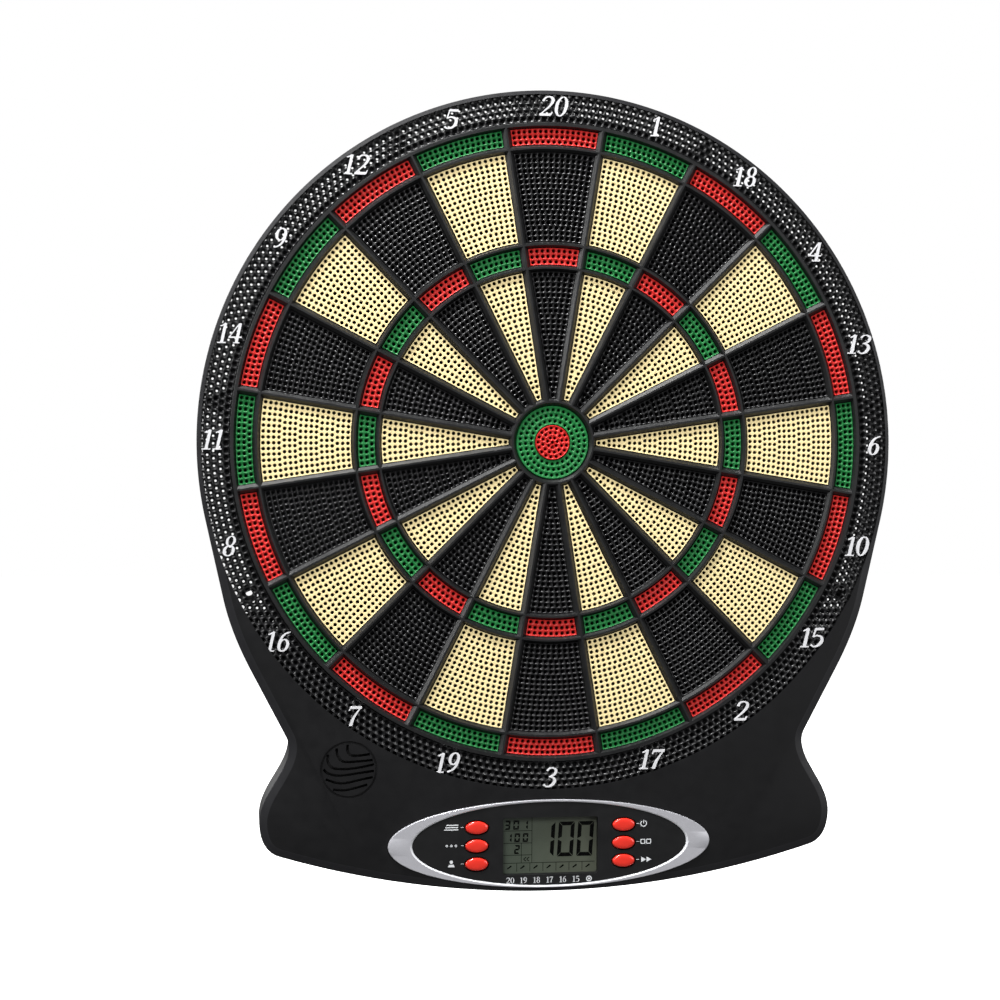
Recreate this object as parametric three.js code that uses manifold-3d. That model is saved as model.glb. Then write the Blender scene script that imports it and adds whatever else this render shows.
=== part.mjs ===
// Electronic dartboard with a soft-tip target, a number ring and a control panel below it.
// Millimetres. X to the right as a player sees it, Y into the wall, Z up. The origin is on the
// wall plane, straight behind the middle of the bull.
import * as THREE from 'three';
import { mergeVertices } from 'three/addons/utils/BufferGeometryUtils.js';
import Module from 'manifold-3d';

const wasm = await Module();
wasm.setup();

// ---- Driving dimensions: depths are Y values, 0 at the wall and negative towards the player ----
const FRONT = -28;                // base face and spider ridges
const RIM_RADIUS = 193;           // round part of the casing
const RIM_BACK = -15.5;           // back edge of the shallow upper rim
const DEEP_BELOW = 58;            // height below which the rim is as deep as the base
const WALL = 2.3;                 // side walls of the casing
const CHAMFER = { depth: 1.2, width: 2 }; // along the front edge
const PLATE_BACK = -24.2;         // inner face of the casing's front plate
const RING_FACE = -26.8;          // front face of the number ring
const RING_OUTER = 190.8;         // outer edge of the number ring
const LIP_RADIUS = 175.9;         // front bore that holds the spider in
const BORE_RADIUS = 177.2;        // rear bore for the target stack
const BORE_WALL = 2;              // wall round the rear bore
const LIP_BACK = -17.6;           // back of the lip
const BASE_TOP = -95;             // height below which the rear cover fills the whole casing
const COVER_THICKNESS = 3;
const TAB_HALF_WIDTH = 5.4;       // screw tabs of the rear cover
const GAP = 0.3;                  // clearance between touching pieces
const ROUND_STEPS = 40;           // sides of every large circle, two to a sector
const SCREW_STEPS = 8;            // sides of screw holes and bosses
const BUTTON_STEPS = 16;
const PANEL_STEPS = 36;

const SECTOR_COUNT = 20;
const SECTOR_ANGLE = 2 * Math.PI / SECTOR_COUNT;
const SPIDER = { outer: 175.5, bull: 20.6, spoke: 4.4, back: -15.3, clearance: 0.4 };
const CELLS = [[163.6, 172.2], [110.8, 159.2], [97.8, 106.8], [24.6, 94.0]];
const SEGMENT_FACE = -26.2;       // front face of the scoring segments
const WEB_BACK = -13.4;           // rear face of a sector's web
const WEB_FRONT = -15;
const SECTOR_NUMBERS = [20, 1, 18, 4, 13, 6, 10, 15, 2, 17, 3, 19, 7, 16, 8, 11, 14, 9, 12, 5];

const MAT = { front: -12.1, back: -10.6, radius: 176.6 };
const MEMBRANE = { front: -10.3, back: -9.8, radius: 175.5 };
const TAIL = { left: 36, right: 50, bottom: -203 }; // of the film, down to the control board
const BACKING = { front: -9.5, back: -6.5, radius: 176.6 };

const PANEL = { z: -220.5, a: 90, b: 24.5, innerA: 76.5, innerB: 23 };
const PANEL_FLOOR = -26.8;        // floor of the recess for the bezel
const PANEL_BACK = -27.1;
const BEZEL_FRONT = -28.9;
const OVERLAY_FRONT = -28.3;
const WINDOW = { left: -26.5, right: 26.5, bottom: -237.5, top: -206 };
const BUTTONS = [
  ['button_game', -41, -211], ['button_option', -41, -221], ['button_player', -41, -231],
  ['button_power', 41, -211], ['button_double', 41, -221], ['button_start', 41, -231],
];
const BUTTON = { a: 6.25, b: 3.5, top: -29.2, flangeFront: -23.9, back: -23.1 };

const BOARD = { halfWidth: 54, bottom: -239, top: -198, front: -20.8, back: -19.2 };
const SPEAKER = { x: -111, z: -178, radius: 14.5 };
const BATTERY = { halfWidth: 29, bottom: -237.5, top: -190.5, floor: -17.6, pitch: 15.2, y: -10.2 };
const CELL = { radius: 7, length: 48.5, nub: 1.2 };
const DOOR = { halfWidth: 30.5, bottom: -239, top: -189, back: -0.2, front: -1.9 };
const MOUNTING_HOLE = { x: 165, z: -83, radius: 2.3, sleeve: 4.2 };
const KEYHOLE = { z: 183.6, top: 190, entry: 4.1, slot: 2.3 };
const SCREW = { shank: 1.45, head: 2.8, bore: 1.75, boss: 4, headBack: -0.3, tip: -15 };

// ---- Colours and finishes ----
const FINISHES = {
  black: { color: 0x17181a, roughness: 0.55, metalness: 0 },
  spider: { color: 0x26282a, roughness: 0.5, metalness: 0 },
  blackSegment: { color: 0x1b1c1e, roughness: 0.45, metalness: 0 },
  creamSegment: { color: 0xe6d9b4, roughness: 0.5, metalness: 0 },
  red: { color: 0xd23b36, roughness: 0.4, metalness: 0 },
  green: { color: 0x2b7f48, roughness: 0.45, metalness: 0 },
  silver: { color: 0xc9ccd0, roughness: 0.3, metalness: 0.6 },
  gloss: { color: 0x0b0c0d, roughness: 0.15, metalness: 0 },
  rubber: { color: 0x2a2b2d, roughness: 0.9, metalness: 0 },
  film: { color: 0xd8d2c0, roughness: 0.4, metalness: 0 },
  hardboard: { color: 0x6a4a30, roughness: 0.85, metalness: 0 },
  circuit: { color: 0x1f6b3a, roughness: 0.5, metalness: 0 },
  display: { color: 0x8c9a86, roughness: 0.3, metalness: 0 },
  clear: { color: 0xb8c0bd, roughness: 0.05, metalness: 0 },
  silicone: { color: 0xd9d9d6, roughness: 0.7, metalness: 0 },
  cell: { color: 0x2d4f86, roughness: 0.35, metalness: 0.2 },
  nickel: { color: 0xb9bbbd, roughness: 0.3, metalness: 1 },
  zinc: { color: 0x8f9296, roughness: 0.35, metalness: 1 },
};

// ---- Solids ----
// A closed manifold solid from any closed three.js geometry.
function solid(geometry) {
  geometry.deleteAttribute('normal');
  geometry.deleteAttribute('uv');
  const merged = mergeVertices(geometry, 1e-4);
  return new wasm.Manifold(new wasm.Mesh({
    numProp: 3,
    vertProperties: new Float32Array(merged.attributes.position.array),
    triVerts: new Uint32Array(merged.index.array),
  }));
}

function toGeometry(body) {
  const mesh = body.getMesh();
  const geometry = new THREE.BufferGeometry();
  geometry.setAttribute('position', new THREE.BufferAttribute(mesh.vertProperties, 3));
  geometry.setIndex(new THREE.BufferAttribute(mesh.triVerts, 1));
  geometry.computeVertexNormals();
  return geometry;
}

// An outline drawn in X and Z becomes a slab between two depths.
function slab(shape, back, front, curveSegments = 12) {
  const options = { depth: back - front, bevelEnabled: false, curveSegments };
  const geometry = new THREE.ExtrudeGeometry(shape, options);
  geometry.rotateX(Math.PI / 2);
  geometry.translate(0, back, 0);
  return solid(geometry);
}

function polygon(points) {
  return new THREE.Shape(points.map(([x, z]) => new THREE.Vector2(x, z)));
}

function ovalPoints(x, z, a, b, steps) {
  return Array.from({ length: steps }, (_, i) => {
    const angle = 2 * Math.PI * i / steps;
    return [x + a * Math.cos(angle), z + b * Math.sin(angle)];
  });
}

function ovalSlab(x, z, a, b, back, front, steps) {
  return slab(polygon(ovalPoints(x, z, a, b, steps)), back, front);
}

function discSlab(x, z, radius, back, front, steps = ROUND_STEPS) {
  return ovalSlab(x, z, radius, radius, back, front, steps);
}

function ringSlab(inner, outer, back, front, steps = ROUND_STEPS) {
  const disc = discSlab(0, 0, outer, back, front, steps);
  return disc.subtract(discSlab(0, 0, inner, back + 1, front - 1, steps));
}

function box(left, right, back, front, bottom, top) {
  const geometry = new THREE.BoxGeometry(right - left, back - front, top - bottom);
  geometry.translate((left + right) / 2, (back + front) / 2, (bottom + top) / 2);
  return solid(geometry);
}

function roundedRectangle(left, right, bottom, top, radius) {
  const shape = new THREE.Shape();
  shape.moveTo(left + radius, bottom);
  shape.lineTo(right - radius, bottom);
  shape.absarc(right - radius, bottom + radius, radius, -Math.PI / 2, 0);
  shape.absarc(right - radius, top - radius, radius, 0, Math.PI / 2);
  shape.absarc(left + radius, top - radius, radius, Math.PI / 2, Math.PI);
  shape.absarc(left + radius, bottom + radius, radius, Math.PI, 1.5 * Math.PI);
  return shape;
}

// A turned piece about the Y direction through (x, z); the profile is a list of [radius, y].
function turned(profile, x, z, steps) {
  const points = profile.map(([radius, y]) => new THREE.Vector2(radius, y));
  const geometry = new THREE.LatheGeometry(points, steps);
  geometry.translate(x, 0, z);
  return solid(geometry);
}

function joined(bodies) {
  return bodies.reduce((sum, body) => sum.add(body));
}

// ---- The casing's outline ----
// Right half from the top to the bottom: the rim's arc, the sloping shoulder, the waist, the ear
// beside the panel and the shallow arc along the bottom.
function casingOutline() {
  const rimSteps = 23;
  const shoulder = Math.PI / 2 - rimSteps * SECTOR_ANGLE / 4;
  const bottomArc = { radius: 500, centre: 253, edge: 148 };
  const rim = Array.from({ length: rimSteps + 1 }, (_, i) => {
    const angle = Math.PI / 2 + (shoulder - Math.PI / 2) * i / rimSteps;
    return new THREE.Vector2(RIM_RADIUS * Math.cos(angle), RIM_RADIUS * Math.sin(angle));
  });
  const side = new THREE.Path();
  side.moveTo(178.6, -85);
  side.quadraticCurveTo(174.4, -103.6, 163.4, -124.5);
  side.lineTo(144.7, -160);
  side.quadraticCurveTo(142.6, -164, 143.6, -169);
  side.bezierCurveTo(146, -181, 159, -192, 159, -206);
  side.quadraticCurveTo(158.5, -221.3, bottomArc.edge, -224.6);
  const bottomSteps = 8;
  const bottom = Array.from({ length: bottomSteps }, (_, i) => {
    const x = bottomArc.edge * (1 - (i + 1) / bottomSteps);
    return new THREE.Vector2(x, bottomArc.centre - Math.sqrt(bottomArc.radius ** 2 - x ** 2));
  });
  const right = [...rim, ...side.getPoints(5), ...bottom];
  right[0].x = 0;
  const left = right.slice(1, -1).reverse().map((point) => new THREE.Vector2(-point.x, point.y));
  return [...right, ...left].reverse();
}

// The same outline moved inwards, each corner along the bisector of its two sides.
function inset(points, distance) {
  const count = points.length;
  return points.map((point, i) => {
    const before = point.clone().sub(points[(i + count - 1) % count]).normalize();
    const after = points[(i + 1) % count].clone().sub(point).normalize();
    const inward = new THREE.Vector2(-before.y - after.y, before.x + after.x).normalize();
    const stretch = inward.dot(new THREE.Vector2(-before.y, before.x));
    return point.clone().addScaledVector(inward, distance / stretch);
  });
}

const OUTLINE = casingOutline();

// ---- Screw places ----
const onCircle = (degrees, radius) => {
  const angle = degrees * Math.PI / 180;
  return [radius * Math.cos(angle), radius * Math.sin(angle)];
};
const SCREW_RADIUS = 184.6;
const RING_SCREW_ANGLES = [62.5, 117.5, 173.5, 6.5];
const RING_SCREWS = RING_SCREW_ANGLES.map((degrees) => onCircle(degrees, SCREW_RADIUS));
const BASE_SCREWS = [[136, -147], [-136, -147], [96, -221], [-96, -221]];
const SCREW_PLACES = [...RING_SCREWS, ...BASE_SCREWS];
const MOUNTING_PLACES = [[MOUNTING_HOLE.x, MOUNTING_HOLE.z], [-MOUNTING_HOLE.x, MOUNTING_HOLE.z]];
const BOARD_POSTS = [[-51.5, -201], [51.5, -201], [-51.5, -236], [51.5, -236]];

// ---- Front casing ----
function casingShell() {
  const { depth, width } = CHAMFER;
  const behind = 2;               // cut away again at the wall
  const options = { depth: behind - FRONT - depth, bevelEnabled: true, bevelThickness: depth };
  options.bevelSize = width;
  options.bevelOffset = -width;
  options.bevelSegments = 1;
  const geometry = new THREE.ExtrudeGeometry(new THREE.Shape(OUTLINE), options);
  geometry.rotateX(Math.PI / 2);
  geometry.translate(0, behind, 0);
  const block = solid(geometry).intersect(box(-250, 250, 0, FRONT, -260, 210));
  const hollow = slab(new THREE.Shape(inset(OUTLINE, WALL)), 1, PLATE_BACK)
    .subtract(discSlab(0, 0, BORE_RADIUS + BORE_WALL, -COVER_THICKNESS - GAP, FRONT));
  return block.subtract(hollow);
}

// The upper rim stops short of the wall, round everything but the bosses behind the ring.
function upperRimCut() {
  const band = ringSlab(BORE_RADIUS + BORE_WALL, RIM_RADIUS + 5, 1, RIM_BACK);
  return band.intersect(box(-200, 200, 1, RIM_BACK, DEEP_BELOW, 200));
}

function targetBore() {
  const lip = discSlab(0, 0, LIP_RADIUS, 1, FRONT - 1);
  return lip.add(discSlab(0, 0, BORE_RADIUS, 1, LIP_BACK));
}

// Seven wavy slots across the loudspeaker.
function grilleSlots() {
  const reach = 13.4;
  const rows = 7;
  const pitch = 3.6;
  return joined(Array.from({ length: rows }, (_, row) => {
    const height = (row - (rows - 1) / 2) * pitch;
    const half = Math.sqrt(reach ** 2 - height ** 2);
    const steps = 5;
    const edge = (side) => Array.from({ length: steps + 1 }, (_, i) => {
      const x = -half + 2 * half * i / steps;
      return [SPEAKER.x + x, SPEAKER.z + height + 0.7 * Math.sin(x / 2.4) + side * 0.8];
    });
    return slab(polygon([...edge(-1), ...edge(1).reverse()]), PLATE_BACK + 1, FRONT - 1);
  }));
}

function casingBosses() {
  const bossBack = -COVER_THICKNESS - GAP;
  const root = PLATE_BACK - 0.5;
  const bosses = SCREW_PLACES.map(([x, z]) => discSlab(x, z, SCREW.boss, bossBack, root, SCREW_STEPS));
  const sleeves = MOUNTING_PLACES.map(([x, z]) =>
    discSlab(x, z, MOUNTING_HOLE.sleeve, 0, root, 12));
  const posts = BOARD_POSTS.map(([x, z]) => discSlab(x, z, 2, BOARD.front - GAP, root, SCREW_STEPS));
  const collar = discSlab(SPEAKER.x, SPEAKER.z, SPEAKER.radius + 2, -20, root, 20)
    .subtract(discSlab(SPEAKER.x, SPEAKER.z, SPEAKER.radius + 0.6, -19, PLATE_BACK, 20));
  return joined([...bosses, ...sleeves, ...posts, collar]);
}

function casingHoles() {
  const panelRecess = ovalSlab(0, PANEL.z, PANEL.a + GAP, PANEL.b + GAP, PANEL_FLOOR, FRONT - 1, PANEL_STEPS);
  const display = slab(roundedRectangle(WINDOW.left, WINDOW.right, WINDOW.bottom, WINDOW.top, 1.5),
    PLATE_BACK + 1, FRONT - 1, 3);
  const buttons = BUTTONS.map(([, x, z]) =>
    ovalSlab(x, z, BUTTON.a + GAP, BUTTON.b + GAP, PLATE_BACK + 1, FRONT - 1, BUTTON_STEPS));
  const screws = SCREW_PLACES.map(([x, z]) => discSlab(x, z, SCREW.bore, 1, SCREW.tip - 0.5, SCREW_STEPS));
  const wallScrews = MOUNTING_PLACES.map(([x, z]) => discSlab(x, z, MOUNTING_HOLE.radius, 1, FRONT - 1, 12));
  const tailSlot = box(TAIL.left - 2, TAIL.right + 2, MEMBRANE.back + 1.6, MEMBRANE.front - 1.5, -185, -160);
  return joined([panelRecess, display, ...buttons, ...screws, ...wallScrews, tailSlot, grilleSlots()]);
}

function frontCasing() {
  const ringRecess = discSlab(0, 0, RING_OUTER, RING_FACE, FRONT - 1, 2 * ROUND_STEPS);
  return casingShell()
    .subtract(upperRimCut())
    .add(casingBosses())
    .subtract(targetBore())
    .subtract(ringRecess)
    .subtract(casingHoles());
}

// ---- Target ----
// A disc with the cells cut through, which leaves five rings and twenty spokes, and a flange
// behind the casing's lip.
function spiderFrame() {
  const disc = discSlab(0, 0, SPIDER.outer, SPIDER.back, FRONT);
  const flange = ringSlab(174.2, BORE_RADIUS - GAP, MAT.front - GAP, LIP_BACK + GAP);
  const bull = discSlab(0, 0, SPIDER.bull, 0, FRONT - 1, 24);
  const windows = CELLS.map(([inner, outer]) => slab(
    cellShape(inner - SPIDER.clearance, outer + SPIDER.clearance, SPIDER.spoke / 2), 0, FRONT - 1));
  const cells = Array.from({ length: SECTOR_COUNT }, (_, i) =>
    windows.map((cell) => cell.rotate([0, i * 360 / SECTOR_COUNT, 0]))).flat();
  return disc.subtract(joined([bull, ...cells])).add(flange);
}

// One cell of the target about the vertical, its straight sides a set distance inside the sector.
function cellShape(inner, outer, offset) {
  const steps = 2;
  const arc = (radius, direction) => Array.from({ length: steps + 1 }, (_, i) => {
    const half = SECTOR_ANGLE / 2 - Math.asin(offset / radius);
    const angle = direction * half * (1 - 2 * i / steps);
    return [radius * Math.sin(angle), radius * Math.cos(angle)];
  });
  return polygon([...arc(outer, 1), ...arc(inner, -1)]);
}

// The double, outer single, treble and inner single of one number, on the web that links them.
function sector(index) {
  const web = slab(cellShape(24.4, 173.8, 0.6), WEB_BACK, WEB_FRONT);
  const sideGap = SPIDER.spoke / 2 + SPIDER.clearance;
  const blocks = CELLS.map(([inner, outer]) =>
    slab(cellShape(inner, outer, sideGap), WEB_FRONT + 0.2, SEGMENT_FACE));
  return joined([web, ...blocks]).rotate([0, index * 360 / SECTOR_COUNT, 0]);
}

function bullOuter() {
  const profile = [[9.9, -26.4], [20.2, -26.4], [20.2, -15], [23.6, -15], [23.6, -13.4],
    [13, -13.4], [13, -15.6], [9.9, -15.6], [9.9, -26.4]];
  return turned(profile, 0, 0, 24);
}

function bullInner() {
  const profile = [[0, -26.8], [9.5, -26.8], [9.5, -14.2], [12.6, -14.2], [12.6, -13.4], [0, -13.4]];
  return turned(profile, 0, 0, 24);
}

// ---- Layers behind the target ----
function impactMat() {
  return discSlab(0, 0, MAT.radius, MAT.back, MAT.front);
}

function switchMembrane() {
  const film = discSlab(0, 0, MEMBRANE.radius, MEMBRANE.back, MEMBRANE.front);
  const { left, right, bottom } = TAIL;
  const tail = box(left, right, MEMBRANE.back, MEMBRANE.front, bottom, -160);
  const drop = box(left, right, MEMBRANE.front + 0.1, BOARD.back + GAP, bottom, bottom + 0.5);
  return joined([film, tail, drop]);
}

function backingPlate() {
  return discSlab(0, 0, BACKING.radius, BACKING.back, BACKING.front);
}

// ---- Rear cover and battery compartment ----
function coverOutline() {
  const fitted = new THREE.Shape(inset(OUTLINE, WALL + GAP));
  const below = box(-200, 200, 0, -COVER_THICKNESS, -260, BASE_TOP);
  const base = slab(fitted, 0, -COVER_THICKNESS).intersect(below);
  const disc = discSlab(0, 0, BORE_RADIUS + BORE_WALL, 0, -COVER_THICKNESS);
  const tabs = RING_SCREW_ANGLES.map((degrees) => {
    const tab = discSlab(SCREW_RADIUS, 0, TAB_HALF_WIDTH, 0, -COVER_THICKNESS, 12);
    const neck = box(BORE_RADIUS - 5, SCREW_RADIUS, 0, -COVER_THICKNESS, -TAB_HALF_WIDTH, TAB_HALF_WIDTH);
    return tab.add(neck).rotate([0, -degrees, 0]);
  });
  const hanger = box(-18, 18, 0, -COVER_THICKNESS, 170, 192.5);
  return joined([base, disc, ...tabs, hanger]);
}

function coverRibs() {
  const tip = BACKING.back + GAP;
  const root = -COVER_THICKNESS + 0.5;
  const ring = ringSlab(94, 96, root, tip, 24);
  const spokes = Array.from({ length: 8 }, (_, i) =>
    box(-1, 1, root, tip, 25, 170).rotate([0, 22.5 + i * 45, 0]));
  return joined([ring, ...spokes]);
}

function batteryBox() {
  const { halfWidth, bottom, top, floor } = BATTERY;
  const skin = 1.2;
  return box(-halfWidth - skin, halfWidth + skin, -1, floor - skin, bottom - skin, top + skin);
}

function batterySpace() {
  const { halfWidth, bottom, top, floor } = BATTERY;
  const cells = box(-halfWidth, halfWidth, 1, floor, bottom, top);
  const seat = box(-DOOR.halfWidth - GAP, DOOR.halfWidth + GAP, 1, DOOR.front - GAP,
    DOOR.bottom - GAP, DOOR.top + GAP);
  const tabSlots = [-20, 20].map((x) =>
    box(x - 4, x + 4, -0.9, -COVER_THICKNESS - 1, DOOR.top - 2.5, DOOR.top + 3));
  return joined([cells, seat, ...tabSlots]);
}

function coverHoles() {
  const through = -COVER_THICKNESS - 1;
  const shanks = SCREW_PLACES.map(([x, z]) => discSlab(x, z, SCREW.bore, 1, through, SCREW_STEPS));
  const heads = SCREW_PLACES.map(([x, z]) => discSlab(x, z, SCREW.head + GAP, 1, -2.1, 12));
  const keyholeEntry = discSlab(0, KEYHOLE.z, KEYHOLE.entry, 1, through, 12);
  const keyholeSlot = box(-KEYHOLE.slot, KEYHOLE.slot, 1, through, KEYHOLE.z, KEYHOLE.top);
  return joined([...shanks, ...heads, keyholeEntry, keyholeSlot]);
}

function rearCover() {
  return joined([coverOutline(), coverRibs(), batteryBox()])
    .subtract(batterySpace())
    .subtract(coverHoles());
}

function batteryDoor() {
  const { halfWidth, bottom, top, back, front } = DOOR;
  const plate = slab(roundedRectangle(-halfWidth, halfWidth, bottom, top, 2), back, front, 3);
  const tabs = [-20, 20].map((x) => box(x - 3, x + 3, -1.3, front - 0.6, top - 1, top + 2));
  const tongue = box(-6, 6, front + 0.2, front - 1.1, bottom + 2, bottom + 3.4);
  const fingerRecess = ovalSlab(0, bottom + 9, 9, 4, 1, back - 0.8, 12);
  return joined([plate, ...tabs, tongue]).subtract(fingerRecess);
}

const CELL_HEIGHTS = [-1, 0, 1].map((row) => (BATTERY.bottom + BATTERY.top) / 2 + row * BATTERY.pitch);

// Cells lie across the board; side is the end that the positive nub points to.
function batteryCell(height, side) {
  const { radius, length, nub } = CELL;
  const profile = [[0, 0], [radius - 0.6, 0], [radius, 0.6], [radius, length - 0.8],
    [radius - 0.8, length], [2.7, length], [2.7, length + nub], [0, length + nub]];
  const geometry = new THREE.LatheGeometry(profile.map(([r, h]) => new THREE.Vector2(r, h)), 16);
  geometry.translate(0, -length - nub, 0);
  geometry.rotateZ(-side * Math.PI / 2);
  geometry.translate(side * (BATTERY.halfWidth - 1.1), BATTERY.y, height);
  return solid(geometry);
}

// A conical spring from the contact plate to the flat end of a cell.
class ConeSpiral extends THREE.Curve {
  constructor(height, side) {
    super();
    this.height = height;
    this.side = side;
  }

  getPoint(t, target = new THREE.Vector3()) {
    const turns = 3;
    const radius = 4.4 - 1.6 * t;
    const angle = 2 * Math.PI * turns * t;
    const start = BATTERY.halfWidth - 1.5;
    const length = 2 * BATTERY.halfWidth - 1.1 - CELL.length - CELL.nub - 1.5 - 0.8;
    const x = -this.side * (start - length * t);
    return target.set(x, BATTERY.y + radius * Math.cos(angle), this.height + radius * Math.sin(angle));
  }
}

function batterySpring(height, side) {
  const wire = new THREE.Shape();
  wire.absarc(0, 0, 0.35, 0, 2 * Math.PI);
  const options = { steps: 24, curveSegments: 2, extrudePath: new ConeSpiral(height, side) };
  return solid(new THREE.ExtrudeGeometry(wire, options));
}

// A sheet contact at one end of the compartment, across one cell or two.
function contactPlate(side, lowCell, highCell) {
  const outer = side * (BATTERY.halfWidth - GAP);
  const inner = side * (BATTERY.halfWidth - 0.8);
  return box(Math.min(outer, inner), Math.max(outer, inner), -4.5, -16,
    CELL_HEIGHTS[lowCell] - 5.5, CELL_HEIGHTS[highCell] + 5.5);
}

function coverScrew([x, z]) {
  const { shank, head, headBack, tip } = SCREW;
  const profile = [[0, tip], [0.5, tip], [shank, tip + 1.6], [shank, headBack - 1.4],
    [head, headBack - 1.4], [head, headBack - 0.5], [head - 0.6, headBack], [0, headBack]];
  return turned(profile, x, z, SCREW_STEPS);
}

// ---- Electronics and control panel ----
function controlBoard() {
  const { halfWidth, bottom, top, front, back } = BOARD;
  return slab(roundedRectangle(-halfWidth, halfWidth, bottom, top, 2), back, front, 2);
}

function displayModule() {
  return box(WINDOW.left - 2.5, WINDOW.right + 2.5, BOARD.front - GAP, PLATE_BACK + GAP,
    WINDOW.bottom - 0.5, WINDOW.top + 0.8);
}

function displayWindow() {
  const outline = roundedRectangle(WINDOW.left + GAP, WINDOW.right - GAP, WINDOW.bottom + GAP,
    WINDOW.top - GAP, 1.2);
  return slab(outline, PANEL_BACK, OVERLAY_FRONT + 0.1, 3);
}

function panelBezel() {
  const bevel = 0.5;
  const shape = polygon(ovalPoints(0, PANEL.z, PANEL.a - bevel, PANEL.b - bevel, PANEL_STEPS));
  shape.holes.push(polygon(ovalPoints(0, PANEL.z, PANEL.innerA + bevel, PANEL.innerB + 0.2, PANEL_STEPS)));
  const options = { depth: PANEL_BACK - BEZEL_FRONT - bevel, curveSegments: 1, bevelEnabled: true };
  options.bevelThickness = bevel;
  options.bevelSize = 0.2;
  options.bevelSegments = 1;
  const geometry = new THREE.ExtrudeGeometry(shape, options);
  geometry.rotateX(Math.PI / 2);
  geometry.translate(0, PANEL_BACK, 0);
  return solid(geometry).intersect(box(-100, 100, PANEL_BACK, BEZEL_FRONT, -250, -190));
}

function panelOverlay() {
  const plate = ovalSlab(0, PANEL.z, PANEL.innerA - GAP, PANEL.innerB - GAP, PANEL_BACK, OVERLAY_FRONT,
    PANEL_STEPS);
  const display = slab(roundedRectangle(WINDOW.left, WINDOW.right, WINDOW.bottom, WINDOW.top, 1.5),
    0, FRONT - 2, 3);
  const buttons = BUTTONS.map(([, x, z]) =>
    ovalSlab(x, z, BUTTON.a + GAP, BUTTON.b + GAP, 0, FRONT - 2, BUTTON_STEPS));
  return plate.subtract(joined([display, ...buttons]));
}

function button(x, z) {
  const { a, b, top, flangeFront, back } = BUTTON;
  const stem = ovalSlab(x, z, a, b, back, top + 0.5, BUTTON_STEPS);
  const crown = ovalSlab(x, z, a - 0.5, b - 0.5, top + 1, top, BUTTON_STEPS);
  const flange = ovalSlab(x, z, a + 1, b + 0.9, back, flangeFront, BUTTON_STEPS);
  return joined([stem, crown, flange]);
}

function buttonPad() {
  const front = BOARD.front - GAP - 0.9;
  const back = BOARD.front - GAP;
  const wings = [-1, 1].map((side) => {
    const inner = side * 31.5;
    const outer = side * 48.5;
    return box(Math.min(inner, outer), Math.max(inner, outer), back, front, -236.5, -200);
  });
  const bridge = box(-40, 40, back, front, -204, -200);
  return joined([...wings, bridge]);
}

function speaker() {
  const { x, z, radius } = SPEAKER;
  const profile = [[0, -22.5], [4, -22.5], [12, -23.9], [radius, -23.9], [radius, -22.9], [12.4, -21],
    [10, -18.5], [10, -13], [0, -13]];
  return turned(profile, x, z, 20);
}

// ---- Assembly ----
const part = new THREE.Group();

function place(name, body, finish) {
  const mesh = new THREE.Mesh(toGeometry(body), new THREE.MeshStandardMaterial(FINISHES[finish]));
  mesh.name = name;
  part.add(mesh);
}

place('front_casing', frontCasing(), 'black');
place('spider_frame', spiderFrame(), 'spider');
SECTOR_NUMBERS.forEach((number, index) => {
  const name = `sector_${String(number).padStart(2, '0')}`;
  place(name, sector(index), index % 2 === 0 ? 'blackSegment' : 'creamSegment');
});
place('bull_outer', bullOuter(), 'green');
place('bull_inner', bullInner(), 'red');
place('impact_mat', impactMat(), 'rubber');
place('switch_membrane', switchMembrane(), 'film');
place('backing_plate', backingPlate(), 'hardboard');
place('rear_cover', rearCover(), 'black');
place('battery_door', batteryDoor(), 'black');
CELL_HEIGHTS.forEach((height, i) => {
  const side = i === 1 ? -1 : 1;
  place(`battery_cell_${i + 1}`, batteryCell(height, side), 'cell');
  place(`battery_spring_${i + 1}`, batterySpring(height, side), 'nickel');
});
place('contact_link_left', contactPlate(-1, 1, 2), 'nickel');
place('contact_link_right', contactPlate(1, 0, 1), 'nickel');
place('contact_terminal_left', contactPlate(-1, 0, 0), 'nickel');
place('contact_terminal_right', contactPlate(1, 2, 2), 'nickel');
place('control_board', controlBoard(), 'circuit');
place('display_module', displayModule(), 'display');
place('display_window', displayWindow(), 'clear');
place('panel_bezel', panelBezel(), 'silver');
place('panel_overlay', panelOverlay(), 'gloss');
BUTTONS.forEach(([name, x, z]) => place(name, button(x, z), 'red'));
place('button_pad', buttonPad(), 'silicone');
place('speaker', speaker(), 'rubber');
SCREW_PLACES.forEach((spot, i) => place(`cover_screw_${i + 1}`, coverScrew(spot), 'zinc'));

export default part;
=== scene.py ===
"""The looks of an electronic dartboard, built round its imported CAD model.

Shapes are given in millimetres in the CAD's frame: X to the right, Y into the wall with 0 at the
wall and negative towards the player, Z up, and the middle of the bull at X = Z = 0.
"""

import math

import bmesh
import bpy
from mathutils import Matrix, Quaternion, Vector
from mathutils.geometry import tessellate_polygon


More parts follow.
